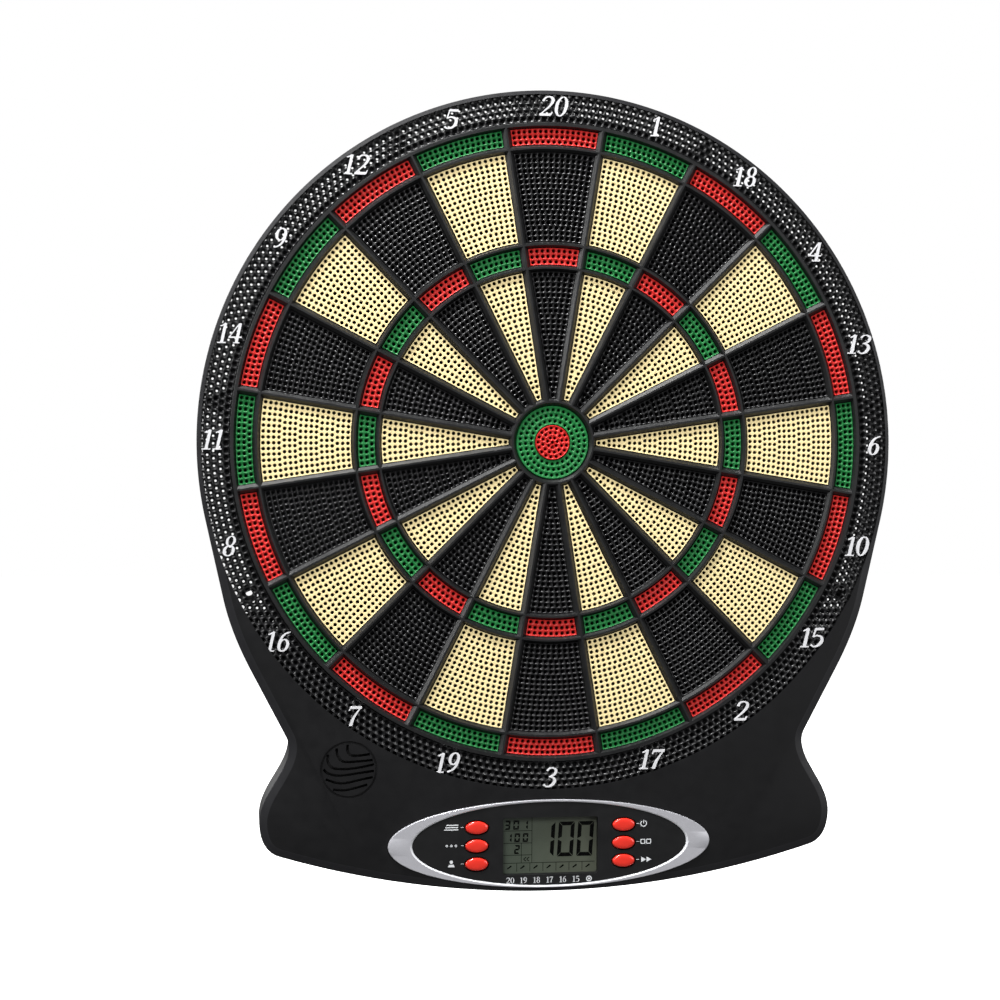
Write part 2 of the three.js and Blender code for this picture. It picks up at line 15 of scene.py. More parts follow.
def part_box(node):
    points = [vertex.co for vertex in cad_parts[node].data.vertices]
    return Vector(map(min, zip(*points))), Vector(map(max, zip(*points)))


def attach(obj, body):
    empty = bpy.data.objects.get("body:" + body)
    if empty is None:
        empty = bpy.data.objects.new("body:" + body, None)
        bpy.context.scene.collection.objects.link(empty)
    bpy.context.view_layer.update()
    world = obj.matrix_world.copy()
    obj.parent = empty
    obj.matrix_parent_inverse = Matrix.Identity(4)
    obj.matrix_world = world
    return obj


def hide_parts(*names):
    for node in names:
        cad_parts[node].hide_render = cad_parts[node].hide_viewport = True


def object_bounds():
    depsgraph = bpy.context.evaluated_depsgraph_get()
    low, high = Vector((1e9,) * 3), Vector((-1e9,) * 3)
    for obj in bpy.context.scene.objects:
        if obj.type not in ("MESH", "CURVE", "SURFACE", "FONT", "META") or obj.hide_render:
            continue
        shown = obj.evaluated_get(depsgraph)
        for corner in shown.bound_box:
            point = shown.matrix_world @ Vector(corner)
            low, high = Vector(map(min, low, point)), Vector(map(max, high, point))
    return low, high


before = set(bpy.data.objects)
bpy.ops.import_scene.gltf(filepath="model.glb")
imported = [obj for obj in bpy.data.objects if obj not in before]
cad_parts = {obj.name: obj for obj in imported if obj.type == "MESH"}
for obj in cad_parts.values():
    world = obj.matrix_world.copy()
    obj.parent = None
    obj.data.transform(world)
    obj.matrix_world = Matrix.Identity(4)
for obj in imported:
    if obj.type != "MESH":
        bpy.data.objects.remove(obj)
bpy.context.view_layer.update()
MM = 0.001
DEGREE = math.pi / 180


# ---- places taken from the frame
def node_box(node):
    """Lowest and highest corner of a CAD node in millimetres."""
    low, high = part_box(node)
    return low / MM, high / MM


def node_middle(node):
    """Middle of a CAD node in X and Z."""
    low, high = node_box(node)
    return (low.x + high.x) / 2, (low.z + high.z) / 2


def node_halves(node):
    """Half the width and half the height of a CAD node."""
    low, high = node_box(node)
    return (high.x - low.x) / 2, (high.z - low.z) / 2


CASING_LOW, CASING_HIGH = node_box("front_casing")
FRONT = CASING_LOW.y  # base face and the ridges of the spider
RIM_RADIUS = CASING_HIGH.z
PLATE_BACK = FRONT + 3.8  # inner face of the casing's front plate
WALL = 2.3
RIM_BACK = -15.5  # back edge of the shallow upper rim
DEEP_BELOW = 58  # height below which the rim is as deep as the base
RING_FACE = FRONT + 1.2
RING_INNER, RING_OUTER = 176.0, 190.8
BORE_RADIUS = 177.2
BORE_WALL = 2
BORE_FRONT = -17.6  # how far forward the bore behind the target reaches
COVER_THICKNESS = 3
GAP = 0.3
SECTORS = 20
SECTOR_ANGLE = 2 * math.pi / SECTORS
SECTOR_NUMBERS = [20, 1, 18, 4, 13, 6, 10, 15, 2, 17, 3, 19, 7, 16, 8, 11, 14, 9, 12, 5]
SCREWS = [f"cover_screw_{i}" for i in range(1, 9)]
SCREW_HOLE = 1.75
MOUNTING_HOLES = [(-165, -83), (165, -83)]
BUTTONS = ["button_" + word for word in ("game", "option", "player", "power", "double", "start")]
BUTTON_A, BUTTON_B = 6.25, 3.5
BUTTON_GAP = 0.8

# The scoring cells from the bull outwards: name, radii, rows of holes
CELLS = [
    ("inner_single", 24.6, 94.0, 24),
    ("treble", 97.8, 106.8, 3),
    ("outer_single", 110.8, 159.2, 17),
    ("double", 163.6, 172.2, 3),
]
HOLE_PITCH = 3.05
SEGMENT_FACE = node_box("sector_20")[0].y
SEGMENT_BACK = -15.2
SEGMENT_GAP = 0.4  # between a segment and the foot of a spoke
SPOKE = 4.4  # width of a spoke at the foot of its slopes
SPIDER_BACK = node_box("spider_frame")[1].y - 3.5
SPIDER_FOOT = FRONT + 2.0


# ---- meshes
class Skin:
    """Points in millimetres and the faces on them, gathered before they become one mesh."""

    def __init__(self):
        self.points = []
        self.faces = []
        self.slots = []

    def add(self, points, faces, slot=0):
        start = len(self.points)
        self.points.extend(points)
        self.faces.extend([tuple(start + i for i in face) for face in faces])
        self.slots.extend([slot] * len(faces))

    def flip(self):
        """The same skin with its faces turned the other way."""
        self.faces = [face[::-1] for face in self.faces]
        return self

    def mesh(self, name, merge=0.002):
        mesh = bpy.data.meshes.new(name)
        scaled = [(x * MM, y * MM, z * MM) for x, y, z in self.points]
        mesh.from_pydata(scaled, [], self.faces)
        mesh.polygons.foreach_set("material_index", self.slots)
        if merge:
            bm = bmesh.new()
            bm.from_mesh(mesh)
            bmesh.ops.remove_doubles(bm, verts=bm.verts, dist=merge * MM)
            bm.to_mesh(mesh)
            bm.free()
        return mesh


def show(shape, name, materials, smooth=30, body="root", replaces=()):
    """Puts a skin or a mesh in the scene as a piece that rides on a CAD body."""
    mesh = shape.mesh(name) if isinstance(shape, Skin) else shape
    for material in materials[len(mesh.materials):]:
        mesh.materials.append(material)
    mesh.polygons.foreach_set("use_smooth", [True] * len(mesh.polygons))
    mesh.set_sharp_from_angle(angle=smooth * DEGREE)
    piece = bpy.data.objects.new(name, mesh)
    bpy.context.scene.collection.objects.link(piece)
    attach(piece, body)
    if replaces:
        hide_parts(*replaces)


def combine(base, *tools, operation="DIFFERENCE"):
    """The base mesh after a boolean with each of the other meshes in turn."""
    scene = bpy.context.scene.collection
    target = bpy.data.objects.new("boolean_base", base)
    scene.objects.link(target)
    helpers = []
    for tool in tools:
        helper = bpy.data.objects.new("boolean_tool", tool)
        scene.objects.link(helper)
        helpers.append(helper)
        modifier = target.modifiers.new("cut", "BOOLEAN")
        modifier.operation = operation
        modifier.solver = "EXACT"
        modifier.object = helper
    bpy.context.view_layer.update()
    graph = bpy.context.evaluated_depsgraph_get()
    result = bpy.data.meshes.new_from_object(target.evaluated_get(graph))
    for helper in [target, *helpers]:
        bpy.data.objects.remove(helper)
    return result


def circle(radius, steps, centre=(0, 0), flat=1.0):
    """Counterclockwise loop in X and Z; flat squeezes it in Z."""
    angles = [2 * math.pi * i / steps for i in range(steps)]
    return [(centre[0] + radius * math.cos(a), centre[1] + radius * flat * math.sin(a)) for a in angles]


def ellipse(a, b, steps, centre=(0, 0)):
    return circle(a, steps, centre, b / a)


def rounded_rectangle(left, right, bottom, top, radius, steps=5):
    corners = [
        (right - radius, top - radius),
        (left + radius, top - radius),
        (left + radius, bottom + radius),
        (right - radius, bottom + radius),
    ]
    loop = []
    for quarter, (x, z) in enumerate(corners):
        for i in range(steps + 1):
            angle = (quarter + i / steps) * math.pi / 2
            loop.append((x + radius * math.cos(angle), z + radius * math.sin(angle)))
    return loop


def bar(left, right, bottom, top):
    return [(left, bottom), (right, bottom), (right, top), (left, top)]


def add_prism(skin, outer, back, front, holes=()):
    """A slab between two depths from a counterclockwise outline and its holes."""
    loops = [outer, *holes]
    flat = [point for loop in loops for point in loop]
    count = len(flat)
    points = [(x, front, z) for x, z in flat] + [(x, back, z) for x, z in flat]
    faces = []
    for a, b, c in tessellate_polygon([[Vector((x, z, 0)) for x, z in loop] for loop in loops]):
        (ax, az), (bx, bz), (cx, cz) = flat[a], flat[b], flat[c]
        if (bx - ax) * (cz - az) < (cx - ax) * (bz - az):
            b, c = c, b
        faces += [(a, b, c), (a + count, c + count, b + count)]
    start = 0
    for loop in loops:
        size = len(loop)
        for i in range(size):
            here, following = start + i, start + (i + 1) % size
            if loop is not outer:
                here, following = following, here
            faces.append((following, here, here + count, following + count))
        start += size
    skin.add(points, faces)


def prism(outer, back, front, holes=()):
    skin = Skin()
    add_prism(skin, outer, back, front, holes)
    return skin.mesh("prism", merge=0)


def add_loft(skin, rings, cap_first=True, cap_last=True, slots=None):
    """Skin over loops of equal length, each a list of (x, y, z), from the back to the front."""
    size = len(rings[0])
    slots = slots or [0] * len(rings)
    sides = [(i, (i + 1) % size, (i + 1) % size + size, i + size) for i in range(size)]
    for ring, following, slot in zip(rings, rings[1:], slots):
        skin.add(ring + following, sides, slot)
    if cap_first:
        skin.add(rings[0], [tuple(reversed(range(size)))], slots[0])
    if cap_last:
        skin.add(rings[-1], [tuple(range(size))], slots[-1])


def level(loop, y):
    return [(x, y, z) for x, z in loop]


def add_turned(skin, profile, centre=(0, 0), steps=32, flat=1.0, caps=(False, False)):
    """Adds a shape turned about Y from a profile of (radius, y), with a cap at either end or none."""
    add_loft(skin, [level(circle(radius, steps, centre, flat), y) for radius, y in profile], *caps)


def orient(loop):
    """The loop counterclockwise."""
    area = sum(ax * bz - bx * az for (ax, az), (bx, bz) in zip(loop, loop[1:] + loop[:1]))
    return loop if area > 0 else loop[::-1]


def ribbon(points):
    """Outline of a stroke whose width changes: points are (x, z, width)."""
    smooth = []
    for i in range(len(points) - 1):
        p0, p1 = points[max(i - 1, 0)], points[i]
        p2, p3 = points[i + 1], points[min(i + 2, len(points) - 1)]
        steps = 6 if len(points) > 2 else 1
        for k in range(steps):
            t = k / steps
            smooth.append(tuple(
                0.5 * (2 * b + (c - a) * t + (2 * a - 5 * b + 4 * c - d) * t * t
                       + (3 * b - a - 3 * c + d) * t ** 3)
                for a, b, c, d in zip(p0, p1, p2, p3)))
    smooth.append(points[-1])
    left, right = [], []
    for i, (x, z, width) in enumerate(smooth):
        ax, az, _ = smooth[max(i - 1, 0)]
        bx, bz, _ = smooth[min(i + 1, len(smooth) - 1)]
        length = math.hypot(bx - ax, bz - az)
        nx, nz = -(bz - az) / length, (bx - ax) / length
        left.append((x + nx * width / 2, z + nz * width / 2))
        right.append((x - nx * width / 2, z - nz * width / 2))
    return right + left[::-1]


# ---- materials
class Look:
    """A node material in the making, with its textures in the object's own coordinates."""

    def __init__(self, name):
        self.material = bpy.data.materials.new(name)
        self.material.use_nodes = True
        self.tree = self.material.node_tree
        self.shader = self.tree.nodes["Principled BSDF"]
        self.place = self.add("TexCoord", "Object", {})

    def fill(self, node, values):
        """Links each input of a node to another node's output, or sets its value."""
        for key, value in values.items():
            socket = node.inputs[key]
            if isinstance(value, bpy.types.NodeSocket):
                self.tree.links.new(value, socket)
            else:
                socket.default_value = (*value, 1) if socket.type == "RGBA" else value

    def add(self, kind, output, values):
        node = self.tree.nodes.new("ShaderNode" + kind)
        self.fill(node, values)
        return node.outputs[output]

    def finish(self, values):
        self.fill(self.shader, values)
        return self.material

    def axis(self, name):
        return self.add("SeparateXYZ", name, {"Vector": self.place})

    def noise(self, size, detail=3.0, rough=0.5, distortion=0.0, place=None):
        """Noise whose features are about size millimetres across."""
        values = {"Scale": 1 / (size * MM), "Detail": detail, "Roughness": rough, "Distortion": distortion}
        return self.add("TexNoise", "Fac", {"Vector": self.place if place is None else place, **values})

    def spread(self, value, low, high, from_low=0.3, from_high=0.7):
        """A value stretched so that from_low gives low and from_high gives high."""
        values = {"From Min": from_low, "From Max": from_high, "To Min": low, "To Max": high}
        return self.add("MapRange", "Result", {"Value": value, **values})

    def blend(self, factor, first, second):
        """Mix of two colours, each a tuple or another node's output."""
        node = self.tree.nodes.new("ShaderNodeMix")
        node.data_type = "RGBA"
        first_key, second_key = [i for i, socket in enumerate(node.inputs) if socket.type == "RGBA"]
        self.fill(node, {0: factor, first_key: first, second_key: second})
        return next(socket for socket in node.outputs if socket.type == "RGBA")

    def bump(self, height, depth):
        """Relief of depth millimetres from a height output."""
        return self.add("Bump", "Normal", {"Height": height, "Distance": depth * MM, "Strength": 1.0})


def scaled(colour, factor):
    return tuple(min(1.0, channel * factor) for channel in colour)


MOTTLE_SIZE = 28.0
SHINE_SIZE = 6.0
SCUFF_SIZE = 3.846


def plastic(name, colour, roughness, grain=0.35, relief=0.01, mottle=0.12, specular=0.5, coat=0.0,
            coat_roughness=0.1, painted_depth_shade=None, scuffs=0.0):
    """Moulded plastic: a fine mould grain, slow mottling and, where asked, faint scuffs.

    The painted depth shade is (front, back, factor): the colour is scaled by factor towards the back depth,
    a painted shade that darkens the holes.
    """
    look = Look(name)
    slow = look.spread(look.noise(MOTTLE_SIZE, 4.0), 0.0, 1.0)
    result = look.blend(slow, scaled(colour, 1 - mottle), scaled(colour, 1 + mottle))
    if painted_depth_shade:
        front, back, factor = painted_depth_shade
        # Painted shade: the colour darkens with depth towards the back of the holes.
        deep = look.spread(look.axis("Y"), 0.0, 1.0, front * MM, back * MM)
        result = look.blend(deep, result, scaled(colour, factor))
    if scuffs:
        marks = look.spread(look.noise(SCUFF_SIZE, 6.0, distortion=1.6), 0.0, scuffs, 0.62, 0.74)
        result = look.blend(marks, result, scaled(colour, 2.2))
    return look.finish({
        "Base Color": result,
        "Roughness": look.spread(look.noise(SHINE_SIZE, 5.0, 0.6), roughness - 0.06, roughness + 0.08),
        "Normal": look.bump(look.noise(grain, 2.0), relief),
        "Specular IOR Level": specular,
        "Coat Weight": coat,
        "Coat Roughness": coat_roughness,
    })


def metal(name, colour, roughness, brushed=1.0):
    """Bare or plated metal, with fine marks drawn out along X where brushed is above 1."""
    look = Look(name)
    along = look.add("Mapping", "Vector", {"Vector": look.place, "Scale": (1 / brushed, 1, 1)})
    fine = look.noise(0.25, place=along)
    tint = look.spread(look.noise(3.0, 4.0), 0.0, 1.0)
    return look.finish({
        "Base Color": look.blend(tint, scaled(colour, 0.85), scaled(colour, 1.1)),
        "Roughness": look.spread(fine, roughness - 0.08, roughness + 0.1),
        "Normal": look.bump(fine, 0.004),
        "Metallic": 1.0,
    })


BLACK = (0.0055, 0.0055, 0.0062)
CHARCOAL = (0.0085, 0.0088, 0.0095)
CASING_PLASTIC = plastic("casing_plastic", BLACK, 0.5, grain=0.5, relief=0.02, specular=0.25, scuffs=0.12)
# Painted sheen: the chamfer's black plastic is painted lighter to stand for the white studio reflected at a
# grazing angle.
CASING_EDGE_PAINTED_SHEEN = plastic("casing_edge_painted_sheen", scaled(BLACK, 2.6), 0.45, grain=0.5, relief=0.015, specular=0.3)
RING_PLASTIC = plastic("ring_plastic", BLACK, 0.3, grain=0.6, relief=0.008, specular=0.4)
SPIDER_PLASTIC = plastic("spider_plastic", scaled(CHARCOAL, 0.75), 0.4, grain=0.45, relief=0.012,
                         specular=0.55)
# Painted highlight: the flat ridges are a lighter copy of the spider's plastic where light catches them; the
# scuffs on them are real wear.
SPIDER_RIDGE_SHEEN_AND_SCUFFS = plastic("spider_ridge_sheen_and_scuffs", scaled(CHARCOAL, 0.9), 0.42, grain=0.5, relief=0.01, specular=0.4,
                       scuffs=0.5)
# Painted shade in the segments' holes: depths where the darkening starts and ends, and how dark it gets.
PAINTED_HOLE_SHADE = (SEGMENT_FACE + 0.25, SEGMENT_FACE + 1.3, 0.3)
PAINTED_HOLE_SHADE_CREAM = (SEGMENT_FACE + 0.2, SEGMENT_FACE + 1.0, 0.12)
SEGMENT_LOOKS = {
    "black": plastic("segment_black", (0.005, 0.005, 0.0057), 0.3, specular=0.38, painted_depth_shade=PAINTED_HOLE_SHADE),
    "cream": plastic("segment_cream", (0.97, 0.80, 0.42), 0.5, mottle=0.03, specular=0.3,
                     painted_depth_shade=PAINTED_HOLE_SHADE_CREAM),
    "red": plastic("segment_red", (0.62, 0.024, 0.020), 0.42, mottle=0.08, specular=0.3, painted_depth_shade=PAINTED_HOLE_SHADE),
    "green": plastic("segment_green", (0.012, 0.18, 0.042), 0.42, mottle=0.08, specular=0.3,
                     painted_depth_shade=PAINTED_HOLE_SHADE),
}
NUMERAL_WHITE = plastic("numeral_white", (0.72, 0.72, 0.74), 0.4, grain=0.3, relief=0.006, mottle=0.03)
PRINT_WHITE = plastic("print_white", (0.72, 0.74, 0.76), 0.5, grain=0.2, relief=0.002, mottle=0.05)
OVERLAY = plastic("overlay_black", (0.009, 0.0092, 0.0098), 0.4, grain=0.4, relief=0.006, specular=0.3)
BUTTON_RED = plastic("button_red", (0.80, 0.032, 0.018), 0.2, grain=0.8, relief=0.004, mottle=0.04,
                     coat=0.5, coat_roughness=0.08)
RUBBER = plastic("rubber_sheet", (0.02, 0.02, 0.021), 0.85, grain=0.8, relief=0.05)
FILM = plastic("printed_film", (0.62, 0.58, 0.48), 0.3, grain=1.5, relief=0.004, mottle=0.06)
SILICONE = plastic("silicone", (0.66, 0.66, 0.64), 0.7, grain=0.5, relief=0.01)
CELL_WRAP = plastic("cell_wrap", (0.03, 0.075, 0.24), 0.25, grain=1.2, relief=0.006, coat=0.4)
NICKEL = metal("nickel_plate", (0.66, 0.65, 0.62), 0.28, brushed=4.0)
ZINC = metal("zinc_screw", (0.34, 0.35, 0.37), 0.36)


def silver_paint():
    """Silver paint with fine metal flakes."""
    look = Look("silver_paint")
    flakes = look.add("TexVoronoi", "Distance", {"Vector": look.place, "Scale": 1 / (0.22 * MM)})
    grey = look.spread(flakes, 0.0, 1.0, 0.1, 0.7)
    return look.finish({
        "Base Color": look.blend(grey, (0.47, 0.47, 0.50), (0.57, 0.57, 0.61)),
        "Roughness": look.spread(look.noise(1.5), 0.34, 0.46),
        "Normal": look.bump(flakes, 0.004),
        "Metallic": 0.35,
    })


def display_glass():
    """Liquid crystal display: a grey-green polariser that is a little lighter to one side."""
    look = Look("display_glass")
    low, high = node_box("display_window")
    across = look.spread(look.axis("X"), 0.0, 1.0, low.x * MM, high.x * MM)
    tint = look.blend(across, (0.060, 0.078, 0.058), (0.084, 0.092, 0.066))
    cloudy = look.spread(look.noise(9.0, 2.0), 0.0, 0.25)
    return look.finish({
        "Base Color": look.blend(cloudy, tint, (0.1, 0.115, 0.09)),
        "Normal": look.bump(look.noise(0.3), 0.002),
        "Roughness": 0.35,
    })


def clear_lens():
    """A thin clear lens: it lets the display show and adds a soft gloss."""
    look = Look("clear_lens")
    shine = look.spread(look.noise(4.0), 0.04, 0.09)
    material = look.finish({"Base Color": (0.02, 0.02, 0.02), "Roughness": shine})
    clear = look.add("BsdfTransparent", 0, {})
    mixed = look.add("MixShader", 0, {0: 0.02, 1: clear, 2: look.shader.outputs[0]})
    look.fill(look.tree.nodes["Material Output"], {"Surface": mixed})
    return material


def hardboard():
    """Pressed fibre board: short fibres in two browns."""
    look = Look("hardboard")
    fibres = look.noise(1.1, 8.0, 0.75)
    return look.finish({
        "Base Color": look.blend(look.spread(fibres, 0.0, 1.0), (0.10, 0.052, 0.026), (0.21, 0.12, 0.062)),
        "Normal": look.bump(fibres, 0.08),
        "Roughness": 0.85,
    })


def circuit_board():
    """Green solder mask over rows of copper tracks."""
    look = Look("circuit_board")
    turn = look.add("Mapping", "Vector", {"Vector": look.place, "Rotation": (math.pi / 2, 0, 0)})
    tracks = look.add("TexBrick", "Fac", {"Vector": turn, "Scale": 160, "Mortar Size": 0.012})
    return look.finish({
        "Base Color": look.blend(tracks, (0.012, 0.11, 0.035), (0.02, 0.2, 0.06)),
        "Normal": look.bump(tracks, 0.03),
        "Roughness": 0.35,
    })


SILVER = silver_paint()
DISPLAY = display_glass()
LENS = clear_lens()
DISPLAY_FIGURES = plastic("display_figures", (0.001, 0.0012, 0.001), 0.6, grain=0.3, relief=0.002,
                          specular=0.05)
DISPLAY_LINES = plastic("display_lines", (0.008, 0.010, 0.007), 0.6, grain=0.3, relief=0.002,
                        specular=0.1)


# ---- the perforated surfaces
def polar(radius, angle, y):
    """A point by its distance from the bull and its angle clockwise from the top."""
    return (radius * math.sin(angle), y, radius * math.cos(angle))


HOLE_SIDES = 8
HOLE_TURN = 225 * DEGREE  # the first point of a hole faces the first corner of its cell


def cell_faces(levels, closed):
    """Faces of one cell: its border of eight points, then rings down the hole."""
    n = HOLE_SIDES
    faces = [(ring * n + i, ring * n + (i + 1) % n, (ring + 1) * n + (i + 1) % n, (ring + 1) * n + i)
             for ring in range(levels) for i in range(n)]
    return [*faces, tuple(range(levels * n, (levels + 1) * n))] if closed else faces


def add_hole_row(skin, angle_at, radii, count, face, dip, hole, blind=True, skip=None):
    """A row of cells between two radii, each with a funnel and a hole in its middle.

    angle_at(radius, share) is the angle at a share of the row's width. hole is a list of
    (radius, depth). Without a blind end the last ring of the hole is joined to a back face.
    """
    inner, outer = radii
    middle = (inner + outer) / 2
    faces = cell_faces(len(hole) + (0 if blind else 1), blind)
    for i in range(count):
        low, mid, high = i / count, (i + 0.5) / count, (i + 1) / count
        centre = angle_at(middle, mid)
        if skip and skip(*polar(middle, centre, 0)):
            continue
        border = [(low, inner, 0), (mid, inner, dip), (high, inner, 0), (high, middle, dip),
                  (high, outer, 0), (mid, outer, dip), (low, outer, 0), (low, middle, dip)]
        points = [polar(r, angle_at(r, share), face + sunk) for share, r, sunk in border]
        for radius, depth in hole:
            for k in range(HOLE_SIDES):
                a = HOLE_TURN + 2 * math.pi * k / HOLE_SIDES
                r = middle + radius * math.sin(a)
                points.append(polar(r, centre + radius * math.cos(a) / middle, face + depth))
        if not blind:
            back = face + hole[-1][1]
            points += [polar(r, angle_at(r, share), back) for share, r, _ in border]
        skin.add(points, faces)


# ---- scoring segments
SEGMENT_HOLE = [(1.25, 0.32), (0.95, 0.75), (0.82, 1.6), (0.78, 7.0)]
SEGMENT_DIP = 0.16
CREAM_HOLE = [(1.15, 0.12), (1.0, 0.4), (0.95, 1.0), (0.9, 7.0)]
CREAM_DIP = 0.06
BULL_HOLE = [(1.2, 0.28), (0.85, 0.7), (0.7, 1.6), (0.66, 6.0)]


def add_skirt(skin, outline, back):
    """Side walls and a back under a counterclockwise outline of (x, y, z)."""
    size = len(outline)
    points = outline + [(x, back, z) for x, _, z in outline]
    faces = [((i + 1) % size, i, i + size, (i + 1) % size + size) for i in range(size)]
    faces.append(tuple(reversed(range(size, 2 * size))))
    skin.add(points, faces)


def segment_skin(index, inner, outer, rows, hole, dip):
    """One scoring segment: rows of cells that fill its outline, on a solid block."""
    side = SPOKE / 2 + SEGMENT_GAP

    def angle_at(radius, share):
        half = SECTOR_ANGLE / 2 - math.asin(side / radius)
        return index * SECTOR_ANGLE + half * (2 * share - 1)

    def across(radius, count, steps):
        """The outline's points at one radius: corners of cells and, sunk by the dip, their middles."""
        return [polar(radius, angle_at(radius, i / (2 * count)), SEGMENT_FACE + dip * (i % 2))
                for i in steps]

    skin = Skin()
    left, right, counts = [], [], []
    for row in range(rows):
        low, high = (inner + (outer - inner) * step / rows for step in (row, row + 1))
        middle = (low + high) / 2
        width = 2 * middle * math.sin(SECTOR_ANGLE / 2) - 2 * side
        counts.append(max(1, round(width / HOLE_PITCH)))
        add_hole_row(skin, angle_at, (low, high), counts[-1], SEGMENT_FACE, dip, hole)
        for points, share in ((left, 0), (right, 1)):
            points += [polar(low, angle_at(low, share), SEGMENT_FACE),
                       polar(middle, angle_at(middle, share), SEGMENT_FACE + dip)]
    bottom = across(inner, counts[0], range(1, 2 * counts[0]))
    top = across(outer, counts[-1], range(2 * counts[-1], -1, -1))
    add_skirt(skin, [left[0], *bottom, *right, *top, *reversed(left[1:])], SEGMENT_BACK)
    return skin


for index, number in enumerate(SECTOR_NUMBERS):
    body = f"sector_{number:02d}"
    dark = index % 2 == 0
    for kind, inner, outer, rows in CELLS:
        if kind in ("double", "treble"):
            look = "red" if dark else "green"
        else:
            look = "black" if dark else "cream"
        hole, dip = (CREAM_HOLE, CREAM_DIP) if look == "cream" else (SEGMENT_HOLE, SEGMENT_DIP)
        show(segment_skin(index, inner, outer, rows, hole, dip), f"{kind}_{number:02d}",
             [SEGMENT_LOOKS[look]], 50, body, [body] if kind == "outer_single" else ())


def full_turn(offset):
    return lambda radius, share: 2 * math.pi * share + offset


def bull_skin(rows, face, core, edge, back):
    """A round piece with rings of holes: rows are (inner, outer, count), core is its bore's radius."""
    skin = Skin()
    for i, (inner, outer, count) in enumerate(rows):
        add_hole_row(skin, full_turn(i * 0.05), (inner, outer), count, face, SEGMENT_DIP, BULL_HOLE)
    steps = 96
    inner, outer = rows[0][0], rows[-1][1]
    rim = [(edge, back), (edge, face + 0.5), (edge - 0.4, face), (outer, face)]
    add_turned(skin, rim, steps=steps, caps=(core == 0, False))
    if core:
        bore = [(inner, face), (core + 0.2, face), (core, face + 0.3), (core, back), (edge, back)]
        add_turned(skin, bore, steps=steps)
    else:
        hole = [(radius, face + depth) for radius, depth in [*reversed(BULL_HOLE), (inner, 0)]]
        add_turned(skin, hole, steps=12, caps=(True, False))
    return skin


BULLS = [
    ("bull_outer", "bull_outer_ring", "green", [(10.2, 13.4, 25), (13.4, 16.5, 32), (16.5, 19.5, 38)],
     9.9, 20.2, -15.2),
    ("bull_inner", "bull_inner_disc", "red", [(1.25, 4.15, 7), (4.15, 6.75, 12), (6.75, 9.2, 17)],
     0, 9.5, -14.3),
]
for node, name, look, rows, core, edge, back in BULLS:
    show(bull_skin(rows, node_box(node)[0].y, core, edge, back), name, [SEGMENT_LOOKS[look]],
         50, node, [node])


# ---- spider
RIDGE_HALF = 0.5
BULL_RIDGE = (21.9, 22.9)
OUTER_RIDGE = 173.5
SPIDER_OUTER = 175.5
SPIDER_BORE = 20.6
ARC_STEPS = 12


def windows_at_ridge():
    """(inner, outer) radius of each window where its slopes begin."""
    middles = [(CELLS[i][2] + CELLS[i + 1][1]) / 2 for i in range(len(CELLS) - 1)]
    inners = [BULL_RIDGE[1], *[middle + RIDGE_HALF for middle in middles]]
    outers = [*[middle - RIDGE_HALF for middle in middles], OUTER_RIDGE]
    return list(zip(inners, outers))


def windows_at_foot():
    return [(inner - SEGMENT_GAP, outer + SEGMENT_GAP) for _, inner, outer, _ in CELLS]


def arc(radius, offset, index, y):
    """Points across a sector, offset from the spokes' middles, from left to right."""
    half = SECTOR_ANGLE / 2 - math.asin(offset / radius)
    middle = index * SECTOR_ANGLE
    return [polar(radius, middle + half * (2 * i / ARC_STEPS - 1), y) for i in range(ARC_STEPS + 1)]


def add_strip(skin, low, high, slot, flip=False):
    """Quads between two rows of points, the lower one nearer to the bull."""
    count = len(low)
    faces = [(i, i + 1, count + i + 1, count + i) for i in range(count - 1)]
    if flip:
        faces = [tuple(reversed(face)) for face in faces]
    skin.add([*low, *high], faces, slot)


def add_grid(skin, windows, offset, bore, rim, y, slot, flip):
    """The flat web between the windows, from the bore to the rim, at one depth."""
    radii = [bore, *[radius for window in windows for radius in window], rim]
    for i in range(SECTORS):
        here, there = ([arc(radius, offset, k, y) for radius in radii] for k in (i, i + 1))
        for inside, outside in zip(here[::2], here[1::2]):
            add_strip(skin, inside, outside, slot, flip)
        # The spoke after this sector
        for k in range(len(radii) - 1):
            add_strip(skin, [here[k][-1], there[k][0]], [here[k + 1][-1], there[k + 1][0]], slot, flip)


# The bore's slope and wall, and the outer edge, as (radius, y)
SPIDER_EDGES = [
    [(BULL_RIDGE[0], FRONT), (SPIDER_BORE + 0.15, FRONT + 1.5), (SPIDER_BORE, FRONT + 1.8),
     (SPIDER_BORE, SPIDER_BACK)],
    [(SPIDER_OUTER, SPIDER_BACK), (SPIDER_OUTER, FRONT + 0.3), (SPIDER_OUTER - 0.3, FRONT)],
]


